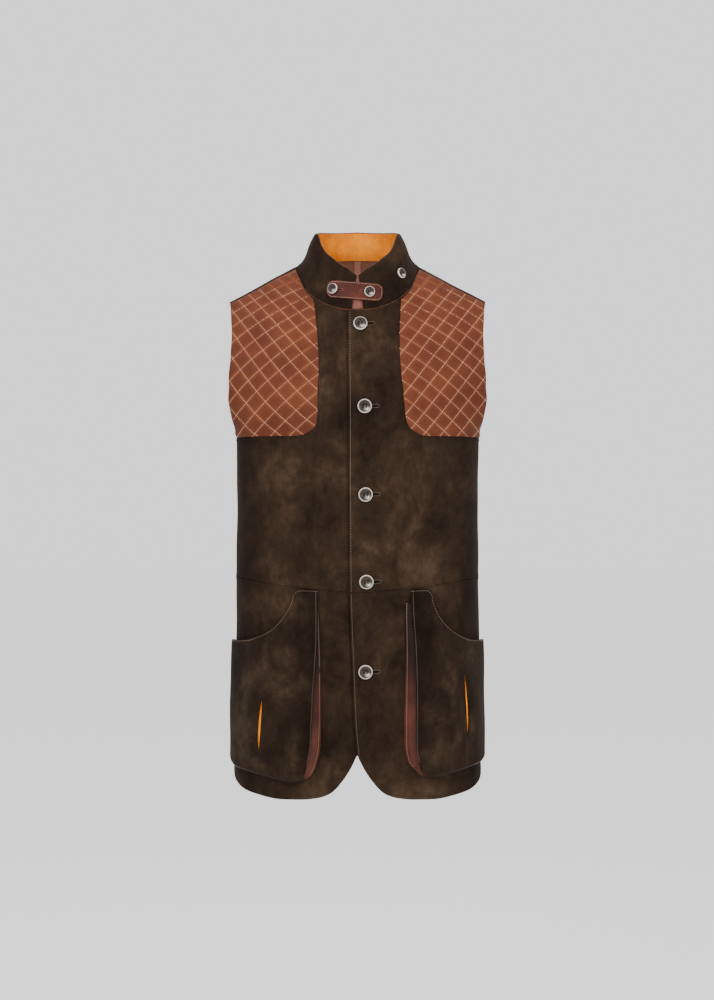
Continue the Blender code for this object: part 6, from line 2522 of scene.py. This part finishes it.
def clear_seat(
    skins: Sequence[BVHTree], middle: Array, facing: Vector, radius: float
) -> Vector:
    """The nearest place along a direction at which a round back clears the cloth below."""
    aside = facing.orthogonal().normalized()
    other = facing.cross(aside)
    spots = [
        Vector(middle) + (aside * math.cos(angle) + other * math.sin(angle)) * reach
        for reach in (0.0, 0.5 * radius, radius)
        for angle in np.linspace(0.0, math.tau, 12, endpoint=False)
    ]
    tops = lay_on(skins, np.array(spots), np.array(facing), 0.0)
    highest = max((tops - middle) @ np.array(facing))
    return Vector(middle) + facing * (highest + BUTTON_SEAT)


class Buttonhole(NamedTuple):
    """A keyhole buttonhole: a dark cord of painted shade in its open slit, between corded lips, with
    a round end.
    """

    length: float
    lip: float
    eye: float
    curve: float
    # The radius of the dark cord that paints the slit's shade
    dark: float

    def flat_slit(self) -> Array:
        """The slit's flat line, from the button's middle out."""
        along = np.linspace(0.0, self.length, 24)
        return np.stack([along, self.curve * (along / self.length) ** 2], axis=1)

    def flat_lips(self) -> Array:
        """The lips' flat line: out along one side, round the eye and back."""
        slit = self.flat_slit()
        upper = slit + np.array([0.0, self.lip])
        lower = slit[::-1] - np.array([0.0, self.lip])
        centre = slit[-1] + np.array([self.eye * 0.8, 0.0])
        eye = centre + heading(np.linspace(130.0, -130.0, 16)) * (self.eye + self.lip)
        return np.vstack([upper, eye, lower])


@dataclass
class Fastenings:
    """The buttons and buttonholes of the front, the tab and the collar."""

    front_hole: Buttonhole = Buttonhole(0.019, 0.0023, 0.0002, 0.0006, 0.002)
    tab_hole: Buttonhole = Buttonhole(0.013, 0.0013, 0.0002, 0.0, 0.0011)

    def make_hole(self, name: str, hole: Buttonhole, laid: Callable, lips: Finish) -> None:
        """Sews one buttonhole: laid(flat, lift) gives points on the cloth."""
        slit = laid(hole.flat_slit(), -0.45 * hole.dark)
        # Painted shade: a dark cord sunk along the slit
        cord(f"{name}_slit", [slit], hole.dark, Finish.HOLE_PAINTED_SHADE, 2)
        edge = laid(hole.flat_lips(), STITCH_LIFT)
        STITCHES.lay(f"{name}_lips", [edge], HOLE_STITCH, lips)

    def dress_front(self, fronts: Sequence[Piece]) -> None:
        """The five buttons down the front and their buttonholes."""
        skins = skin_of(*fronts)
        maker = ButtonMaker("front_button_model", BUTTON_RADIUS, BUTTON_HEIGHT)
        model = maker.model()
        for number, spot in enumerate(FRONT_BUTTONS, start=1):
            place = FORM.seen(*spot)
            facing = Vector(FORM.normal(place[0], place[1]))
            seat = clear_seat(skins, front_at(1, place, SUEDE), facing, BUTTON_RADIUS)
            maker.sew(model, f"button_{number}", seat, facing)

            def laid(flat: Array, lift: float, spot: Mark = spot) -> Array:
                across, height = (np.array(spot) + flat).T
                return front_at(1, FORM.seen(across, height), SUEDE + lift)

            self.make_hole(f"front_buttonhole_{number}", self.front_hole, laid,
                           Finish.LIP_THREAD)

    def dress_tab(self, tab: ThroatTab, piece: Piece) -> None:
        """The tab's two buttons and their buttonholes."""
        skins = skin_of(piece)
        maker = ButtonMaker("small_button_model", SMALL_BUTTON_RADIUS, SMALL_BUTTON_HEIGHT)
        model = maker.model()
        step = 0.003
        for side, share in zip(("right", "left"), TAB_BUTTON_SHARES):
            start = share * TAB_LENGTH
            along = np.array([0.0, -step, step, 0.0, 0.0]) + start
            aside = np.array([0.0, 0.0, 0.0, -step, step])
            middle, left, right, low, high = tab.at(along, aside, skins, 0.0)
            facing = Vector(np.cross(right - left, high - low)).normalized()
            seat = clear_seat(skins, middle, facing, SMALL_BUTTON_RADIUS)
            maker.sew(model, f"tab_button_{side}", seat, facing)
            inward = 1.0 if share < 0.0 else -1.0

            def laid(
                flat: Array, lift: float, start: float = start, inward: float = inward
            ) -> Array:
                return tab.at(start + inward * flat[:, 0], flat[:, 1], skins, lift)

            self.make_hole(f"tab_buttonhole_{side}", self.tab_hole, laid, Finish.TAB_LIP)
        self.model, self.maker = model, maker

    def dress_collar(self, collar: Piece) -> None:
        """The spare button on the collar's left side."""
        share, rise = COLLAR_FORM.spot(
            np.array([COLLAR_BUTTON.across]), np.array([COLLAR_BUTTON.height])
        )
        middle = COLLAR_FORM.surface(share, rise)[0]
        facing = Vector(COLLAR_FORM.point(share, rise, 1.0)[0] - middle).normalized()
        seat = clear_seat(skin_of(collar), middle, facing, SMALL_BUTTON_RADIUS)
        self.maker.sew(self.model, "collar_button", seat, facing)


# Studio


@dataclass(frozen=True)
class Lamp:
    """A soft square light."""

    name: str
    place: tuple[float, float, float]
    aim: tuple[float, float, float]
    size: float
    watts: float


@dataclass
class Studio:
    """A pale floor, soft lights and the camera at the photograph's angle."""

    floor_z: float = -1.45
    floor_size: float = 60.0
    camera_place: tuple[float, float, float] = (-0.0008, -3.2, -0.353)
    lens: float = 75.0
    lamps: tuple = (
        Lamp("key_light", (-1.4, -2.6, 1.5), (0.0, 0.0, -0.3), 1.6, 62.0),
        Lamp("fill_light", (1.9, -2.4, 0.6), (0.0, 0.0, -0.4), 1.8, 30.0),
        Lamp("top_light", (0.0, -0.4, 2.4), (0.0, 0.0, -0.2), 1.8, 34.0),
        Lamp("glint_light", (0.9, -2.2, -1.0), (0.0, 0.0, -0.35), 0.35, 9.0),
    )

    def build(self) -> None:
        """Builds the studio."""
        bpy.ops.mesh.primitive_plane_add(size=self.floor_size, location=(0.0, 0.0, self.floor_z))
        floor = bpy.context.object
        floor.name = "studio_floor"
        shader = Shader("pale floor", 0.9)
        shader.surface.inputs["Base Color"].default_value = (0.97, 0.97, 0.97, 1.0)
        floor.data.materials.append(shader.material)
        for lamp in self.lamps:
            data = bpy.data.lights.new(lamp.name, "AREA")
            data.shape, data.size, data.energy = "SQUARE", lamp.size, lamp.watts
            light = stand(lamp.name, data)
            light.location = lamp.place
            aim = Vector(lamp.aim) - Vector(lamp.place)
            light.rotation_euler = aim.to_track_quat("-Z", "Y").to_euler()
        self.light_world()
        self.place_camera()

    def light_world(self) -> None:
        """Gives the world a plain, near-white light."""
        world = bpy.data.worlds.new("white studio")
        bpy.context.scene.world = world
        world.use_nodes = True
        background = world.node_tree.nodes["Background"]
        background.inputs["Color"].default_value = (1.0, 1.0, 1.0, 1.0)
        background.inputs["Strength"].default_value = 1.35

    def place_camera(self) -> None:
        """Looks level at the vest's front."""
        data = bpy.data.cameras.new("camera")
        data.lens, data.sensor_width = self.lens, 36.0
        camera = stand("camera", data)
        camera.location = self.camera_place
        camera.rotation_euler = (math.pi / 2.0, 0.0, 0.0)
        bpy.context.scene.camera = camera


def main() -> None:
    """Dresses the vest piece by piece."""
    logging.basicConfig(level=logging.INFO, format="%(message)s")
    back = Back().dress()
    uppers, lowers = {}, {}
    for patch in (LEFT_PATCH, RIGHT_PATCH):
        side = patch.outline.side
        uppers[side] = UpperFront(patch.outline).dress()
        patch.dress()
        lowers[side] = LowerFront(side).dress()
        SeamCords().dress(patch.outline)
    collar = Collar().dress()
    BackNeck().dress(back)
    for pocket in (LEFT_POCKET, RIGHT_POCKET):
        BellowsPocket(PocketForm(pocket)).dress(lowers[pocket.side])
    tab = ThroatTab()
    tab_piece = tab.dress(collar)
    fastenings = Fastenings()
    fastenings.dress_front([uppers[1], lowers[1]])
    fastenings.dress_tab(tab, tab_piece)
    fastenings.dress_collar(collar)
    Studio().build()


if __name__ == "__main__":
    main()
